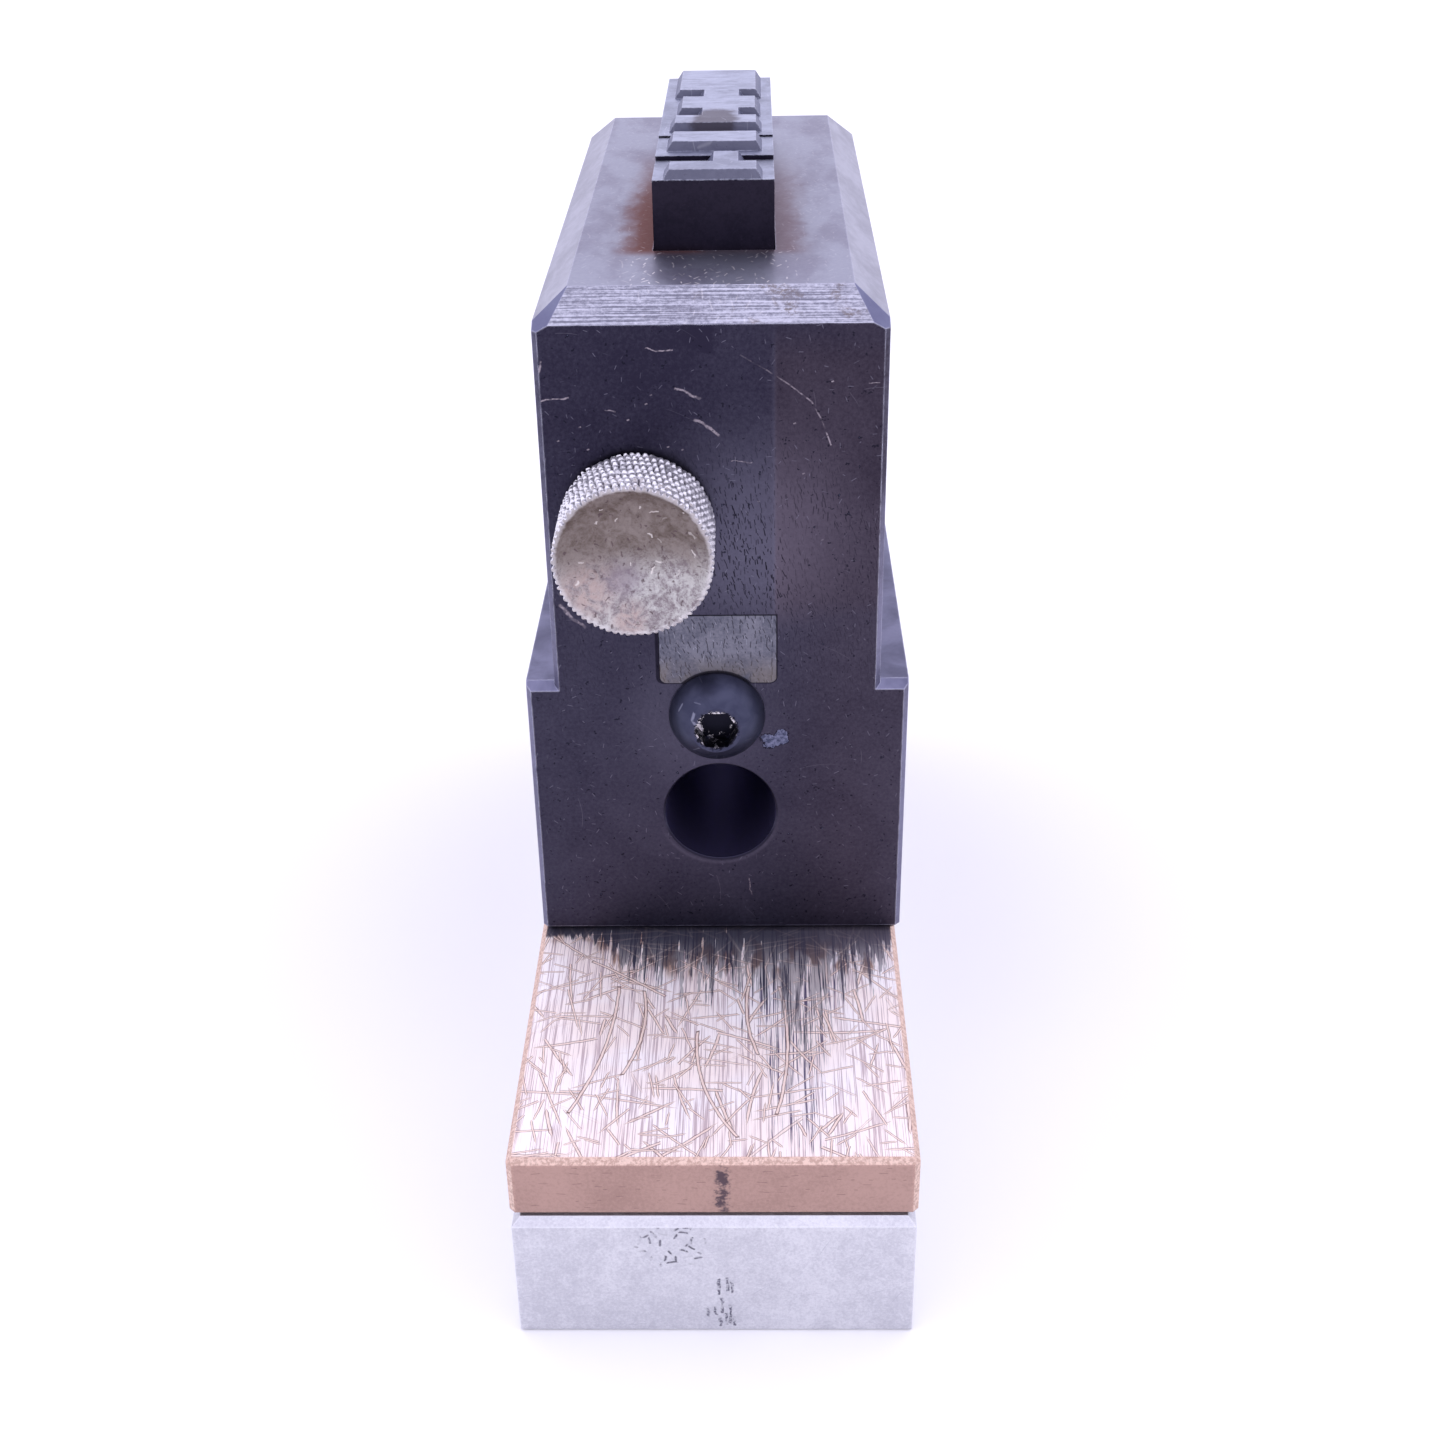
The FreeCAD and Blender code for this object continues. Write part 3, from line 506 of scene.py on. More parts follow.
def bar_steel():
    """Ground hardened steel, dull grey, with short upright wear flecks in its end."""
    paint = Paint("hardened_bar_steel")
    plane = paint.x, paint.z
    cloud = paint.noise(3.0, detail=3.0, warp=0.5)
    fine = paint.noise(0.35, detail=3.0, rough=0.7)
    shade = (cloud * 0.55 + fine * 0.45).fade(0.36, 0.64)
    color = paint.mix(shade, tone(90, 91, 104), tone(122, 122, 134))
    flecks, chance = paint.strokes(plane, 0.55, 0.09, 0.42, 3, heading=1.8, spread=0.4)
    fleck = (1.0 - flecks) * chance.fade(0.15, 0.5)
    color = paint.mix(fleck * 0.85, color, tone(46, 45, 54))
    bright, chance = paint.strokes(plane, 0.9, 0.05, 0.4, 6, heading=1.8, spread=0.5)
    color = paint.mix((1.0 - bright) * chance.fade(0.5, 0.8) * 0.55, color, tone(176, 176, 190))
    low = (paint.z - BAR_LOW.z).fade(3.8, 0.6)
    color = paint.mix(low * cloud.fade(0.3, 0.55) * 0.5, color, tone(116, 106, 96))
    # Painted shade: thin dark lines along the bar's top and sides and round the button screw's head, in the
    # gaps there.
    edge = (paint.z - BAR_HIGH.z).fade(-0.1, 0.0).either((paint.x.size() - BAR_HIGH.x).fade(-0.06, 0.0))
    from_button = paint.away((paint.x - BUTTON_MID.x, paint.z - BUTTON_MID.z))
    button_gap_shade = from_button.fade(BUTTON_RADIUS + 0.32, BUTTON_RADIUS + 0.22)
    color = paint.mix((edge * 0.6).either(button_gap_shade * 0.85), color, tone(30, 28, 38))
    paint.bump(fine * 0.5 - fleck, 0.012)
    return paint.finish(color, 0.46 + (cloud - 0.5) * 0.2)


def type_steel():
    """Hardened type steel: bright on top with pits, dark blued sides."""
    paint = Paint("blued_type_steel")
    plane = paint.x, paint.y
    behind = paint.y - FRONT
    upward = paint.nz.fade(0.02, 0.3)
    cloud = paint.noise(3.5, detail=3.0, warp=0.5)
    fine = paint.noise(0.4, detail=3.0, rough=0.7, shift=5.0)
    side = paint.mix((cloud * 0.5 + fine * 0.5).fade(0.4, 0.6), tone(36, 33, 44), tone(42, 38, 50))
    top = paint.mix((cloud * 0.6 + fine * 0.4).fade(0.35, 0.65), tone(136, 139, 157), tone(166, 170, 189))
    streaky = paint.noise(0.5, detail=4.0, rough=0.7, stretch=(5.0, 1.0, 1.0), shift=2.0)
    raised = (paint.z - ROW_HIGH.z).fade(-0.75, -0.35)
    top = paint.mix(raised * streaky.fade(0.35, 0.7), top, tone(178, 182, 200))
    flank = paint.nz.fade(0.95, 0.8)
    top = paint.mix(flank * 0.6, top, tone(140, 142, 166))
    # Painted shade: the facets at the bars' ends, which face sideways, are painted darker.
    shaded_ends = flank * paint.nx.size().fade(0.15, 0.4)
    top = paint.mix(shaded_ends * 0.75, top, tone(92, 95, 122))
    middle = behind.fade(27.0, 33.0) * behind.fade(44.0, 36.0) * paint.x.size().fade(5.0, 0.5)
    stain = (middle + (cloud - 0.5) * 0.9 + (fine - 0.5) * 0.3).fade(0.45, 0.8)
    top = paint.mix(stain * 0.75, top, tone(92, 84, 90))
    pits = fine.fade(0.64, 0.72)
    top = paint.mix(pits * 0.45, top, tone(104, 103, 118))
    scratches, chance = paint.strokes(plane, 1.6, 0.05, 0.8, 5)
    top = paint.mix((1.0 - scratches) * chance.fade(0.5, 0.8) * 0.5, top, tone(222, 223, 234))
    color = paint.mix(upward, side, top)
    worn = paint.worn_edges(0.14) * fine.fade(0.35, 0.6) * (paint.z - ROW_HIGH.z).fade(-2.0, -1.6)
    color = paint.mix(worn * 0.7, color, tone(206, 208, 224))
    paint.bump(streaky * 0.3 + fine * 0.3 - pits, 0.02)
    return paint.finish(color, 0.36 + upward * 0.12 + stain * 0.15)


# Radii of the bottom of the knurl's grooves and of its crests, between which its colour goes from painted
# shade to bright.
KNURL_VALLEY = 7.42
KNURL_CREST = 7.68


def knob_steel():
    """Bright plated knob: painted shade and grime in the knurl's grooves, and a pitted dish painted brown
    and shaded above and pale and lit below.
    """
    paint = Paint("knurled_knob_steel")
    face = paint.x - KNOB_MID.x, paint.z - KNOB_MID.z
    radius = paint.away(face)
    cloud = paint.noise(3.2, detail=4.0, rough=0.6, warp=0.8)
    patch = paint.noise(1.5, detail=4.0, rough=0.65, shift=5.0, warp=1.0)
    fine = paint.noise(0.35, detail=3.0, rough=0.75)
    is_dish = paint.ny.fade(-0.6, -0.72) * (paint.y - KNOB_LOW.y).fade(3.0, 2.4)
    # Painted shade: the knurl darkens towards the bottom of its grooves.
    knurl = paint.mix(radius.fade(KNURL_VALLEY, KNURL_CREST), tone(112, 108, 118), tone(236, 234, 240))
    knurl = paint.mix((patch * 0.6 + fine * 0.4).fade(0.5, 0.66) * 0.45, knurl, tone(140, 136, 144))
    knurl = paint.mix(cloud.fade(0.5, 0.7) * radius.fade(7.8, 7.5) * 0.5, knurl, tone(120, 104, 100))

    # Dish: brown, with painted shade, where it faces down, and pale and blotchy, with painted light, below;
    # with pits, chips and a bright rim
    blotches = (cloud * 0.4 + patch * 0.3 + fine * 0.3).fade(0.38, 0.62)
    brown_shaded_dish = paint.mix(blotches, tone(102, 90, 84), tone(142, 132, 128))
    lit_pale_dish = paint.mix((patch * 0.5 + fine * 0.5).fade(0.38, 0.6), tone(136, 126, 130), tone(196, 194, 192))
    pink = paint.spot(face, (-4.6, -2.8), 1.0, 4.5).either(paint.spot(face, (-0.5, -6.2), 0.5, 2.5))
    lit_pale_dish = paint.mix(pink * patch.fade(0.3, 0.6) * 0.75, lit_pale_dish, tone(182, 160, 154))
    lit_pale_dish = paint.mix(paint.spot(face, (-1.0, -2.2), 0.5, 2.8) * 0.6, lit_pale_dish, tone(140, 128, 140))
    # Painted shade above and painted light below meet along this wavy edge.
    edge = paint.z - KNOB_MID.z + (cloud - 0.5) * 4.0 + (patch - 0.5) * 2.5 - paint.x.fade(-10.0, 2.0) * 1.2
    dish = paint.mix(edge.fade(-3.2, 1.4), lit_pale_dish, brown_shaded_dish)
    pits = fine.fade(0.58, 0.68) * patch.fade(0.64, 0.45)
    dish = paint.mix(pits * 0.6, dish, tone(96, 80, 76))
    for cell, seed, shade in ((1.1, 14, tone(92, 76, 80)), (2.1, 8, tone(226, 220, 216))):
        chips, chance = paint.strokes(paint.wobbly(face, 0.7, 0.9), cell, 0.15, cell * 0.2, seed)
        dish = paint.mix((1.0 - chips) * chance.fade(0.35, 0.6) * 0.8, dish, shade)
    rim = (radius + (patch - 0.5) * 0.8).fade(7.15, 7.5)
    dish = paint.mix(rim * (0.35 + fine * 0.4), dish, tone(214, 210, 212))
    color = paint.mix(is_dish, knurl, dish)
    paint.bump(fine * 0.7 + patch * 0.8 - pits * 0.5, 0.06)
    return paint.finish(color, 0.42 + is_dish * 0.1 + fine * 0.1)


# A scar in the front button screw's dome, in millimetres right of its middle and above it.
SCREW_SCAR = [(-2.3, 1.9), (-2.5, 1.2), (-2.2, 0.7)]


def screw_steel():
    """Black oxide button heads and cap screws, with painted shade in the sockets and the oxide chipped off
    round them.
    """
    paint = Paint("black_screw_steel")
    face = paint.x - BUTTON_MID.x, paint.z - BUTTON_MID.z
    radius = paint.away(face)
    cloud = paint.noise(1.8, detail=3.0, warp=0.5)
    ragged = paint.noise(0.55, detail=3.0, rough=0.7, shift=2.0)
    color = paint.mix(cloud.fade(0.3, 0.7), tone(62, 64, 84), tone(73, 75, 95))
    fuzzy = radius + (ragged - 0.5) * 1.6
    # Painted shade: the socket is painted dark.
    shaded_socket = fuzzy.fade(2.4, 2.15) * (paint.z - FOOT).fade(20.0, 21.0)
    color = paint.mix(shaded_socket, color, tone(30, 30, 40))
    # The chips stand partly for painted highlights, so more of them show on the lit upper side.
    lit_side = (paint.z - BUTTON_MID.z - paint.x * 0.6).fade(-1.8, 0.6) * 0.75 + 0.25
    chips = shaded_socket * fuzzy.fade(1.5, 1.8) * (ragged + lit_side * 0.12).fade(0.6, 0.66)
    color = paint.mix(chips, color, tone(232, 228, 232))
    scars, chance = paint.strokes(face, 1.5, 0.1, 0.5, 9)
    scar = (1.0 - scars) * chance.fade(0.65, 0.8) * radius.fade(2.4, 2.8)
    scar = scar.either(paint.path(face, SCREW_SCAR, 0.4) * ragged.fade(0.35, 0.5))
    color = paint.mix(scar * 0.6, color, tone(150, 152, 172))
    paint.bump(cloud * 0.3 + ragged * 0.5 * shaded_socket - scar * 0.5, 0.02)
    return paint.finish(color, 0.44 + chips * 0.1)


def plain_steel():
    """Turned steel with fine marks round its length."""
    paint = Paint("turned_steel")
    turning = paint.noise(0.12, detail=2.0, stretch=(60.0, 1.0, 60.0))
    cloud = paint.noise(3.0, detail=3.0)
    shade = (turning * 0.5 + cloud * 0.5).fade(0.35, 0.65)
    color = paint.mix(shade, tone(132, 131, 138), tone(184, 184, 190))
    worn = paint.worn_edges(0.2)
    color = paint.mix(worn * 0.5, color, tone(214, 214, 220))
    paint.bump(turning, 0.008)
    return paint.finish(color, 0.28 + cloud * 0.12)


# Copper plate and aluminium base

# How far the dark stain reaches forward of the holder: shares of the plate's width from its left side,
# and of STAIN_LENGTH in millimetres.
STAIN_REACH = [(0.0, 0.03), (0.16, 0.05), (0.23, 0.3), (0.36, 0.46), (0.5, 0.5), (0.6, 0.44),
               (0.68, 0.98), (0.76, 0.8), (0.84, 0.42), (0.95, 0.34), (1.0, 0.1)]
STAIN_LENGTH = 20.0

# Sets of random scratches: the size of the cells that hold one each, their half width and reach, all in
# millimetres, and how much they bend.
COPPER_SCRATCHES = (
    (9.0, 0.24, 6.5, 0.02), (8.6, 0.18, 6.0, 0.0), (7.8, 0.24, 5.0, 0.04), (7.0, 0.18, 4.5, 0.0),
    (6.2, 0.20, 4.0, 0.03), (5.2, 0.17, 3.4, 0.0), (4.2, 0.16, 2.6, 0.0), (3.2, 0.15, 2.0, 0.0),
)
# Long curved scratches: three points that each one goes through, in millimetres in the row frame.
COPPER_ARCS = (
    ((-10.9, -33.0), (-12.4, -46.3), (-14.8, -53.5)), ((-8.2, -33.8), (-7.8, -38.4), (-9.8, -47.7)),
    ((3.1, -33.1), (2.9, -38.4), (4.1, -44.6)), ((-2.2, -40.6), (-1.6, -48.5), (2.1, -57.0)),
    ((6.3, -33.1), (7.1, -40.7), (5.8, -53.8)), ((-14.2, -28.6), (-8.2, -33.0), (-5.8, -35.0)),
)


def copper_top(paint, plane, cloud):
    """The colour of the brushed upper face, with heat stain at the holder's foot, and the brushing."""
    brushed = paint.noise(0.12, detail=2.0, rough=0.6, stretch=(1.0, 80.0, 1.0))
    broad = paint.noise(0.7, detail=2.0, rough=0.6, stretch=(1.0, 30.0, 1.0), shift=4.0)
    lines = (brushed * 0.92 + broad * 0.08).fade(0.49, 0.41)
    bright = paint.mix(cloud.fade(0.35, 0.65), tone(255, 251, 252), tone(255, 246, 243))
    top = paint.mix(lines * 0.65, bright, tone(190, 166, 174))

    # Stain: streaks that run forward along the brushing, darkest at the holder
    ahead = FRONT - paint.y
    across = (paint.x - COPPER_LOW.x) / (COPPER_HIGH.x - COPPER_LOW.x)
    reach = paint.curve(across, STAIN_REACH) * STAIN_LENGTH
    streaks = paint.noise(0.5, detail=3.0, rough=0.75, stretch=(1.0, 18.0, 1.0), shift=3.0)
    edge = ahead - reach * (streaks * 4.2 - 1.25) - (cloud - 0.5) * 3.0
    stain = edge.fade(0.2, -0.5) * (1.0 - lines.fade(0.5, 0.0) * ahead.fade(0.5, 9.0) * 0.6)
    veil = (edge - across.fade(0.55, 0.69) * across.fade(0.86, 0.74) * 16.0).fade(4.0, -4.0)
    tan = paint.noise(1.6, detail=3.0, stretch=(1.0, 3.0, 1.0), shift=8.0).fade(0.46, 0.62)
    fringe = (ahead - reach * (streaks * 3.0 - 0.4)).fade(2.4, -0.5) * tan * ahead.fade(10.0, 6.0)
    top = paint.mix(fringe * 0.8, top, tone(172, 132, 108))
    top = paint.mix(veil * (lines * 0.85 + 0.06), top, tone(88, 78, 118))
    stained = paint.mix(across.fade(0.6, 0.9), tone(80, 79, 97), tone(108, 102, 118))
    top = paint.mix(stain * 0.96, top, stained)

    plane = paint.wobbly(plane, 1.2, 0.2)
    broken = paint.noise(0.8, detail=2.0, shift=5.0).fade(0.3, 0.6)

    def scratched(top, near, share):
        """The colour with one set of scratches: pale grooves, each with a line of painted shade on both
        sides.
        """
        shown = (1.0 - stain * 0.94) * share
        top = paint.mix(near.fade(0.7, 0.5) * shown * 0.85, top, tone(248, 232, 224))
        # Painted shade along both sides of each groove.
        groove_shade = near.fade(1.0, 0.8) * near.fade(0.35, 0.6)
        return paint.mix(groove_shade * shown * (0.55 + broken * 0.4), top, tone(132, 100, 94))

    for seed, (cell, width, reach, bend) in enumerate(COPPER_SCRATCHES, start=11):
        near, chance = paint.strokes(plane, cell, width, reach, seed, bend=bend)
        top = scratched(top, near, chance.fade(0.05, 0.2))
    for points in COPPER_ARCS:
        top = scratched(top, paint.arc(plane, *points, 0.24), 1.0)
    return top, brushed


def copper():
    """Brushed copper, scratched all over, with dark heat stain that spreads from the holder's foot."""
    paint = Paint("scratched_copper")
    plane = paint.x, paint.y
    is_top = paint.nz.fade(0.9, 0.98)
    is_end = paint.ny.size().fade(0.8, 0.95).either(paint.nx.size().fade(0.8, 0.95))
    cloud = paint.noise(8.0, detail=3.0, shift=1.0, warp=0.5)
    fine = paint.noise(0.35, detail=3.0, rough=0.7, shift=6.0)
    top, brushed = copper_top(paint, plane, cloud)

    # Sides: matte and salmon-coloured, with a dark upright mark in the middle of the end
    side = paint.mix((fine * 0.6 + cloud * 0.4).fade(0.35, 0.65), tone(172, 143, 134), tone(190, 160, 150))
    end_plane = paint.x, paint.z
    dashes, chance = paint.strokes(end_plane, 1.3, 0.08, 0.5, 21, spread=0.12)
    side = paint.mix((1.0 - dashes) * chance.fade(0.5, 0.75) * 0.5, side, tone(112, 86, 86))
    mark = (paint.x - 0.5 + (fine - 0.5) * 1.6).size().fade(0.9, 0.3) * paint.ny.fade(-0.8, -0.9)
    patchy = paint.noise(1.1, detail=3.0, rough=0.7, shift=2.0, stretch=(1.5, 1.0, 1.0))
    mark = mark * patchy.fade(0.42, 0.58)
    side = paint.mix(mark * 0.85, side, tone(74, 64, 78))
    chamfer = paint.mix(fine.fade(0.4, 0.6), tone(204, 178, 166), tone(234, 214, 203))
    color = paint.mix(is_top, chamfer, top)
    color = paint.mix(is_end, color, side)
    worn = paint.worn_edges(0.45) * fine.fade(0.3, 0.6)
    color = paint.mix(worn * 0.55, color, tone(226, 196, 182))
    # Painted shade: a dark line along the plate's foot, in the groove above the base.
    foot_shade = (paint.z - COPPER_LOW.z).fade(0.75, 0.3)
    color = paint.mix(foot_shade * 0.75, color, tone(84, 66, 66))
    paint.bump(brushed * is_top + fine * (0.4 + is_end * 0.6) - mark * is_end * 0.5, 0.02)
    return paint.finish(color, 0.78 - is_end * 0.14 + (fine - 0.5) * 0.12)


# Dents in the base's end: their middle, in millimetres right of the end's middle and above the floor.
DENTS_MID = (-4.4, 12.2)

# Upright marks low in the end: how far right of its middle each is, and its top and foot.
BASE_DASHES = [
    (0.0, 7.2, 5.2), (0.3, 4.6, 2.6), (0.9, 7.4, 5.6), (1.3, 6.9, 5.4), (0.7, 2.4, 1.0), (1.1, 3.6, 1.2),
    (-0.4, 3.4, 2.4), (1.5, 2.0, 0.9), (-1.1, 3.2, 2.2), (0.1, 1.8, 0.8),
]


def aluminium():
    """Sawn and lightly brushed aluminium, with dents near the top of its end."""
    paint = Paint("sawn_aluminium")
    plane = paint.x, paint.z
    cloud = paint.noise(8.0, detail=3.0, warp=0.5)
    fine = paint.noise(0.28, detail=3.0, rough=0.75)
    broad = paint.noise(1.4, detail=3.0, rough=0.7, shift=2.0, warp=0.4)
    mixed = fine * 0.5 + broad * 0.25 + cloud * 0.25
    color = paint.mix(mixed.fade(0.34, 0.66), tone(193, 193, 201), tone(221, 221, 226))
    is_end = paint.ny.fade(-0.8, -0.95)
    scratch, chance = paint.strokes(plane, 3.5, 0.05, 1.6, 32, heading=0.6, spread=0.7, bend=0.1)
    color = paint.mix((1.0 - scratch) * chance.fade(0.6, 0.9) * 0.4, color, tone(160, 160, 174))
    dent_area = paint.spot(plane, DENTS_MID, 1.2, 4.8) * is_end
    dents, chance = paint.strokes(plane, 1.0, 0.2, 0.7, 33, bend=0.9)
    dent = (1.0 - dents) * chance.fade(0.0, 0.5) * (fine + broad - 1.0).fade(-0.2, 0.0)
    dent = dent * (dent_area + (broad - 0.5) * 1.2).fade(0.25, 0.6)
    color = paint.mix(dent * 0.9, color, tone(78, 76, 92))
    ragged = paint.wobbly(plane, 0.5, 0.5)
    dashes = None
    for x, high, low in BASE_DASHES:
        dash = paint.streak(ragged, (x, high), (x + 0.05, low), 0.4)
        dashes = dash if dashes is None else dashes.either(dash)
    dashes = dashes * is_end * (fine + broad - 1.0).fade(-0.2, 0.1)
    color = paint.mix(dashes * 0.9, color, tone(90, 88, 106))
    # Painted shade: darker just below the end's top edge, in the groove under the copper plate.
    grime_and_shade = (BASE_HIGH.z - paint.z).fade(0.5, 0.1) * is_end
    color = paint.mix(grime_and_shade * 0.5, color, tone(140, 134, 144))
    color = paint.mix(paint.worn_edges(0.25) * 0.5, color, tone(236, 236, 240))
    paint.bump(fine * 0.6 - dent * 2.0 - dashes, 0.03)
    return paint.finish(color, 0.52 + (fine - 0.5) * 0.15)


MAKERS = (black_steel, bar_steel, type_steel, knob_steel, screw_steel, plain_steel, copper, aluminium)
MATERIALS = {maker.__name__: maker() for maker in MAKERS}


def dress(thing, slot):
    """Gives an object the finish of one of the record's material slots."""
    thing.data.materials.clear()
    thing.data.materials.append(MATERIALS[slot])


for subpart in frame["record"]["subparts"]:
    dress(frame["nodes"][subpart["node"]], subpart["material_slot"])


# Turned pieces of the thumbscrew

# Knurl: leaning grooves round the knob, the length of a row along it, how many grooves one leans across
# in a row, the grooves' depth, and the mesh's steps in a groove and rings in a row.
KNURL_STARTS = 72
KNURL_ROW = 1.1
KNURL_LEAN = 0.3
KNURL_DEPTH = 0.3
KNURL_STEPS = 8
KNURL_RINGS = 8

# Knob: the spigot that the sleeve and the knob share, the rings of the seat at its end, the flat at the
# knob's back and its broken edge.
SPIGOT_RADIUS = 4.5
SPIGOT_LENGTH = 4.5
SEAT_RINGS = (0.9, 2.7, SPIGOT_RADIUS)
BACK_FLAT = 6.6
EDGE_BREAK = 0.3

# Rings of the knob's front corner: how far each lies inside the knob's radius and behind its face, and
# its grooves' depth.
CORNER_RINGS = ((0.04, 0.14, 0.24), (0.18, 0.02, 0.16))

# Dish: its depth, the radius of the sphere it is cut by, how far inside the knob's radius it starts, and
# its other rings as shares of its radius.
DISH_DEPTH = 2.0
DISH_SPHERE = 14.9
DISH_EDGE = 0.42
DISH_RINGS = (0.94, 0.9, 0.85, 0.8, 0.74, 0.68, 0.62, 0.55, 0.48, 0.4, 0.32, 0.24, 0.16, 0.08)

# Sleeve: its thread, the radii of the bore for the pin and of the recess for the pin's head, and how far
# the thread stays from the sleeve's end and from the neck.
THREAD_PITCH = 1.5
THREAD_DEPTH = 0.8
THREAD_STEPS = 48
THREAD_RINGS = 64
PIN_BORE = 3.06
PIN_RECESS = 3.68
RECESS_DEPTH = 2.0
THREAD_END = 0.1


def turned_piece(name, rings, steps, closed):
    """A mesh of rings round the thumbscrew's axis.

    A ring is a function of an angle that gives a radius and a distance out of the holder's front face, in
    millimetres. The last ring joins the first if closed, and otherwise both ends close on the axis.
    """
    vertices = []
    for ring in rings:
        for step in range(steps):
            angle = 2 * math.pi * step / steps
            radius, out = ring(angle)
            x = KNOB_MID.x + radius * math.cos(angle)
            z = KNOB_MID.z + radius * math.sin(angle)
            vertices.append((x * MM, (FRONT - out) * MM, z * MM))
    faces = []
    count = len(rings)
    for i in range(count if closed else count - 1):
        here = i * steps
        ahead = (i + 1) % count * steps
        for step in range(steps):
            beside = (step + 1) % steps
            faces.append((here + step, here + beside, ahead + beside, ahead + step))
    if not closed:
        for first in (0, (count - 1) * steps):
            out = sum(FRONT - vertices[first + step][1] / MM for step in range(steps)) / steps
            vertices.append((KNOB_MID.x * MM, (FRONT - out) * MM, KNOB_MID.z * MM))
            hub = len(vertices) - 1
            for step in range(steps):
                pair = (first + step, first + (step + 1) % steps)
                faces.append((*pair, hub) if first else (*reversed(pair), hub))
    mesh = bpy.data.meshes.new(name)
    mesh.from_pydata(vertices, [], faces)
    mesh.validate()
    mesh.update()
    piece = bpy.data.objects.new(name, mesh)
    bpy.context.scene.collection.objects.link(piece)
    return piece


def zigzag(value):
    """0 at whole numbers and 1 halfway between them, straight between."""
    return 1 - abs(2 * (value % 1.0) - 1)


def plain_ring(radius, out):
    """A round ring."""
    return lambda angle: (radius, out)


def knurled_ring(radius, out, depth=KNURL_DEPTH):
    """A ring cut by leaning grooves and by grooves round it, a little unevenly, as a worn knurl is."""

    # wander bends the grooves a little, and uneven makes some of them shallower
    def ring(angle):
        spot = Vector((4 * math.cos(angle), 4 * math.sin(angle), out * 0.7))
        wander = 0.35 * noise.noise(spot)
        across = zigzag(KNURL_STARTS * angle / (2 * math.pi) + KNURL_LEAN * out / KNURL_ROW + wander)
        along = zigzag(out / KNURL_ROW + 0.15 * math.sin(7 * angle) + wander)
        uneven = 1 + 0.8 * noise.noise(spot * 1.9)
        return radius - depth * uneven * (1 - min(1.0, 1.5 * min(across, along))), out

    return ring


def dish_ring(radius, deepest):
    """A ring of the dished face, with the slight roughness of a worn surface."""

    def ring(angle):
        lift = DISH_SPHERE - math.sqrt(DISH_SPHERE**2 - radius**2)
        spot = Vector((radius * math.cos(angle), radius * math.sin(angle), 0.0))
        pitting = noise.noise(spot * 1.1) * 0.05 + noise.noise(spot * 3.1) * 0.025
        return radius, deepest + lift + pitting

    return ring


def make_knob():
    """The knob: a seat for the spigot, a flat back, a knurled edge and a dished face, from ring to ring."""
    back = FRONT - KNOB_HIGH.y
    face = FRONT - KNOB_LOW.y
    outer = (KNOB_HIGH.x - KNOB_LOW.x) / 2
    seat = back + SPIGOT_LENGTH
    deepest = face - DISH_DEPTH
    step = KNURL_ROW / KNURL_RINGS
    count = int((face - back - EDGE_BREAK) / step)
    rings = [plain_ring(radius, seat) for radius in SEAT_RINGS]
    rings += [plain_ring(SPIGOT_RADIUS, back), plain_ring(BACK_FLAT, back)]
    rings += [knurled_ring(outer - EDGE_BREAK, back), knurled_ring(outer - EDGE_BREAK / 2, back + 0.12)]
    rings += [knurled_ring(outer, back + EDGE_BREAK + step * i) for i in range(count)]
    rings += [knurled_ring(outer - inside, face - behind, depth) for inside, behind, depth in CORNER_RINGS]
    rings.append(dish_ring(outer - DISH_EDGE, deepest))
    rings += [dish_ring(share * (outer - EDGE_BREAK), deepest) for share in DISH_RINGS]
    knob = turned_piece("knurled_knob", rings, KNURL_STARTS * KNURL_STEPS, closed=False)
    dress(knob, "knob_steel")
    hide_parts("thumb_knob")
    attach(knob, "thumbscrew")


def make_thread():
    """The sleeve: a helical thread that runs out at both ends, a spigot, and a recess for the pin."""
    low, high = box_mm("threaded_sleeve")
    inner_end = FRONT - high.y
    outer_end = FRONT - low.y
    crest = (high.x - low.x) / 2
    recess_floor = outer_end - RECESS_DEPTH
    neck = FRONT - KNOB_HIGH.y

    def threaded(out, crest_here):
        def ring(angle):
            groove = zigzag(out / THREAD_PITCH - angle / (2 * math.pi))
            return crest_here - THREAD_DEPTH * max(0.0, groove * 1.3 - 0.3), out

        return ring

    rings = [plain_ring(PIN_BORE, inner_end), plain_ring(crest - 1.0, inner_end)]
    for i in range(THREAD_RINGS + 1):
        out = inner_end + THREAD_END + (neck - inner_end - 2 * THREAD_END) * i / THREAD_RINGS
        lead = min(1.0, (out - inner_end) / THREAD_PITCH, (neck - out) / THREAD_PITCH + 0.3)
        rings.append(threaded(out, crest - 0.5 * (1 - lead)))
    rings += [plain_ring(SPIGOT_RADIUS, out) for out in (neck, outer_end)]
    rings += [plain_ring(PIN_RECESS, out) for out in (outer_end, recess_floor)]
    rings.append(plain_ring(PIN_BORE, recess_floor))
    thread = turned_piece("screw_thread", rings, THREAD_STEPS, closed=True)
    dress(thread, "plain_steel")
    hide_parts("threaded_sleeve")
    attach(thread, "thumbscrew")


make_knob()
make_thread()


# Floor, light and camera

# Half the floor's width, in metres.
FLOOR_HALF = 3.0

# The tent's brightness is TENT_LEVEL at the horizon and changes by TENT_RISE up to the top.
TENT_COLOR = (0.87, 0.85, 1.0, 1.0)
TENT_LEVEL = 1.18
TENT_RISE = 0.6

# The camera's turn to the left, tilt down and lean in degrees, its lens and sensor width, and its place.
CAMERA_ANGLES = (1.226, 29.69, -0.955)
CAMERA_LENS = 46.78
CAMERA_SENSOR = 36.0
CAMERA_PLACE = (4.191, -194.95, 147.22)


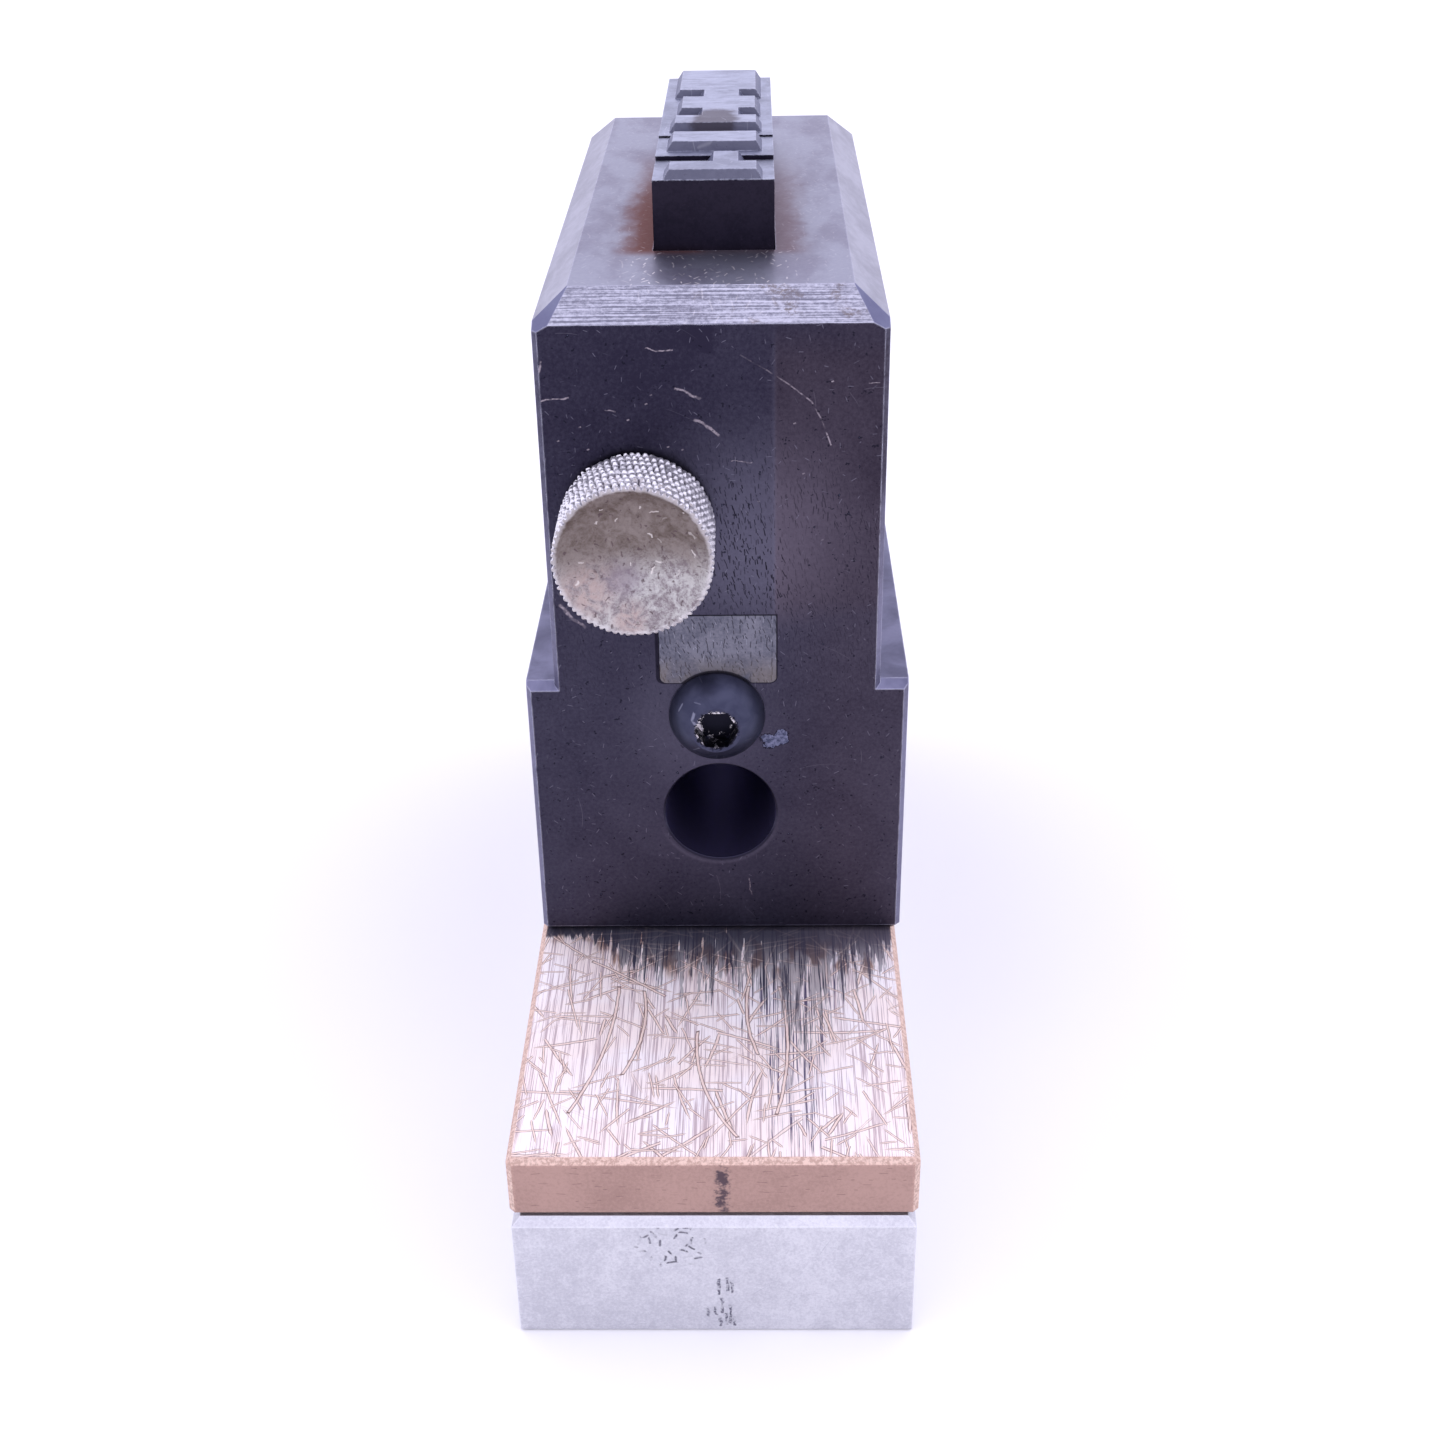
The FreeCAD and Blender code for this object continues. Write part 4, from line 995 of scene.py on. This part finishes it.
def make_floor():
    """The wide pale floor that the object stands on."""
    mesh = bpy.data.meshes.new("floor")
    corners = [(FLOOR_HALF * x, FLOOR_HALF * y, 0) for x, y in ((-1, -1), (1, -1), (1, 1), (-1, 1))]
    mesh.from_pydata(corners, [], [(0, 1, 2, 3)])
    floor = bpy.data.objects.new("floor", mesh)
    bpy.context.scene.collection.objects.link(floor)
    material = bpy.data.materials.new("pale_floor")
    material.use_nodes = True
    shader = material.node_tree.nodes["Principled BSDF"]
    shader.inputs["Base Color"].default_value = (0.89, 0.89, 0.88, 1.0)
    shader.inputs["Roughness"].default_value = 0.9
    shader.inputs["Specular IOR Level"].default_value = 0.0
    mesh.materials.append(material)


def light_world():
    """A bright tent with a faint violet cast, brighter overhead."""
    world = bpy.data.worlds.new("light_tent")
    bpy.context.scene.world = world
    world.use_nodes = True
    tree = world.node_tree
    coordinates = tree.nodes.new("ShaderNodeTexCoord")
    split = tree.nodes.new("ShaderNodeSeparateXYZ")
    tree.links.new(coordinates.outputs["Generated"], split.inputs[0])
    lift = tree.nodes.new("ShaderNodeMath")
    lift.operation = "MULTIPLY_ADD"
    lift.inputs[1].default_value = TENT_RISE
    lift.inputs[2].default_value = TENT_LEVEL
    tree.links.new(split.outputs[2], lift.inputs[0])
    background = tree.nodes["Background"]
    background.inputs["Color"].default_value = TENT_COLOR
    tree.links.new(lift.outputs[0], background.inputs["Strength"])


def aim_camera():
    """The camera stands in front of the row, a little right of its middle, and looks down on it."""
    turn, tilt, lean = (math.radians(angle) for angle in CAMERA_ANGLES)
    forward = Vector((-math.sin(turn) * math.cos(tilt), math.cos(turn) * math.cos(tilt), -math.sin(tilt)))
    level = Vector((math.cos(turn), math.sin(turn), 0))
    above = level.cross(forward)
    right = math.cos(lean) * level + math.sin(lean) * above
    up = math.cos(lean) * above - math.sin(lean) * level
    data = bpy.data.cameras.new("camera")
    data.sensor_width = CAMERA_SENSOR
    data.lens = CAMERA_LENS
    data.clip_start = 0.01
    camera = bpy.data.objects.new("camera", data)
    bpy.context.scene.collection.objects.link(camera)
    matrix = camera.matrix_world.to_3x3()
    matrix.col[0], matrix.col[1], matrix.col[2] = right, up, -forward
    camera.matrix_world = matrix.to_4x4()
    camera.location = Vector(CAMERA_PLACE) * MM
    bpy.context.scene.camera = camera


make_floor()
light_world()
aim_camera()
bpy.context.scene.view_settings.view_transform = "Standard"
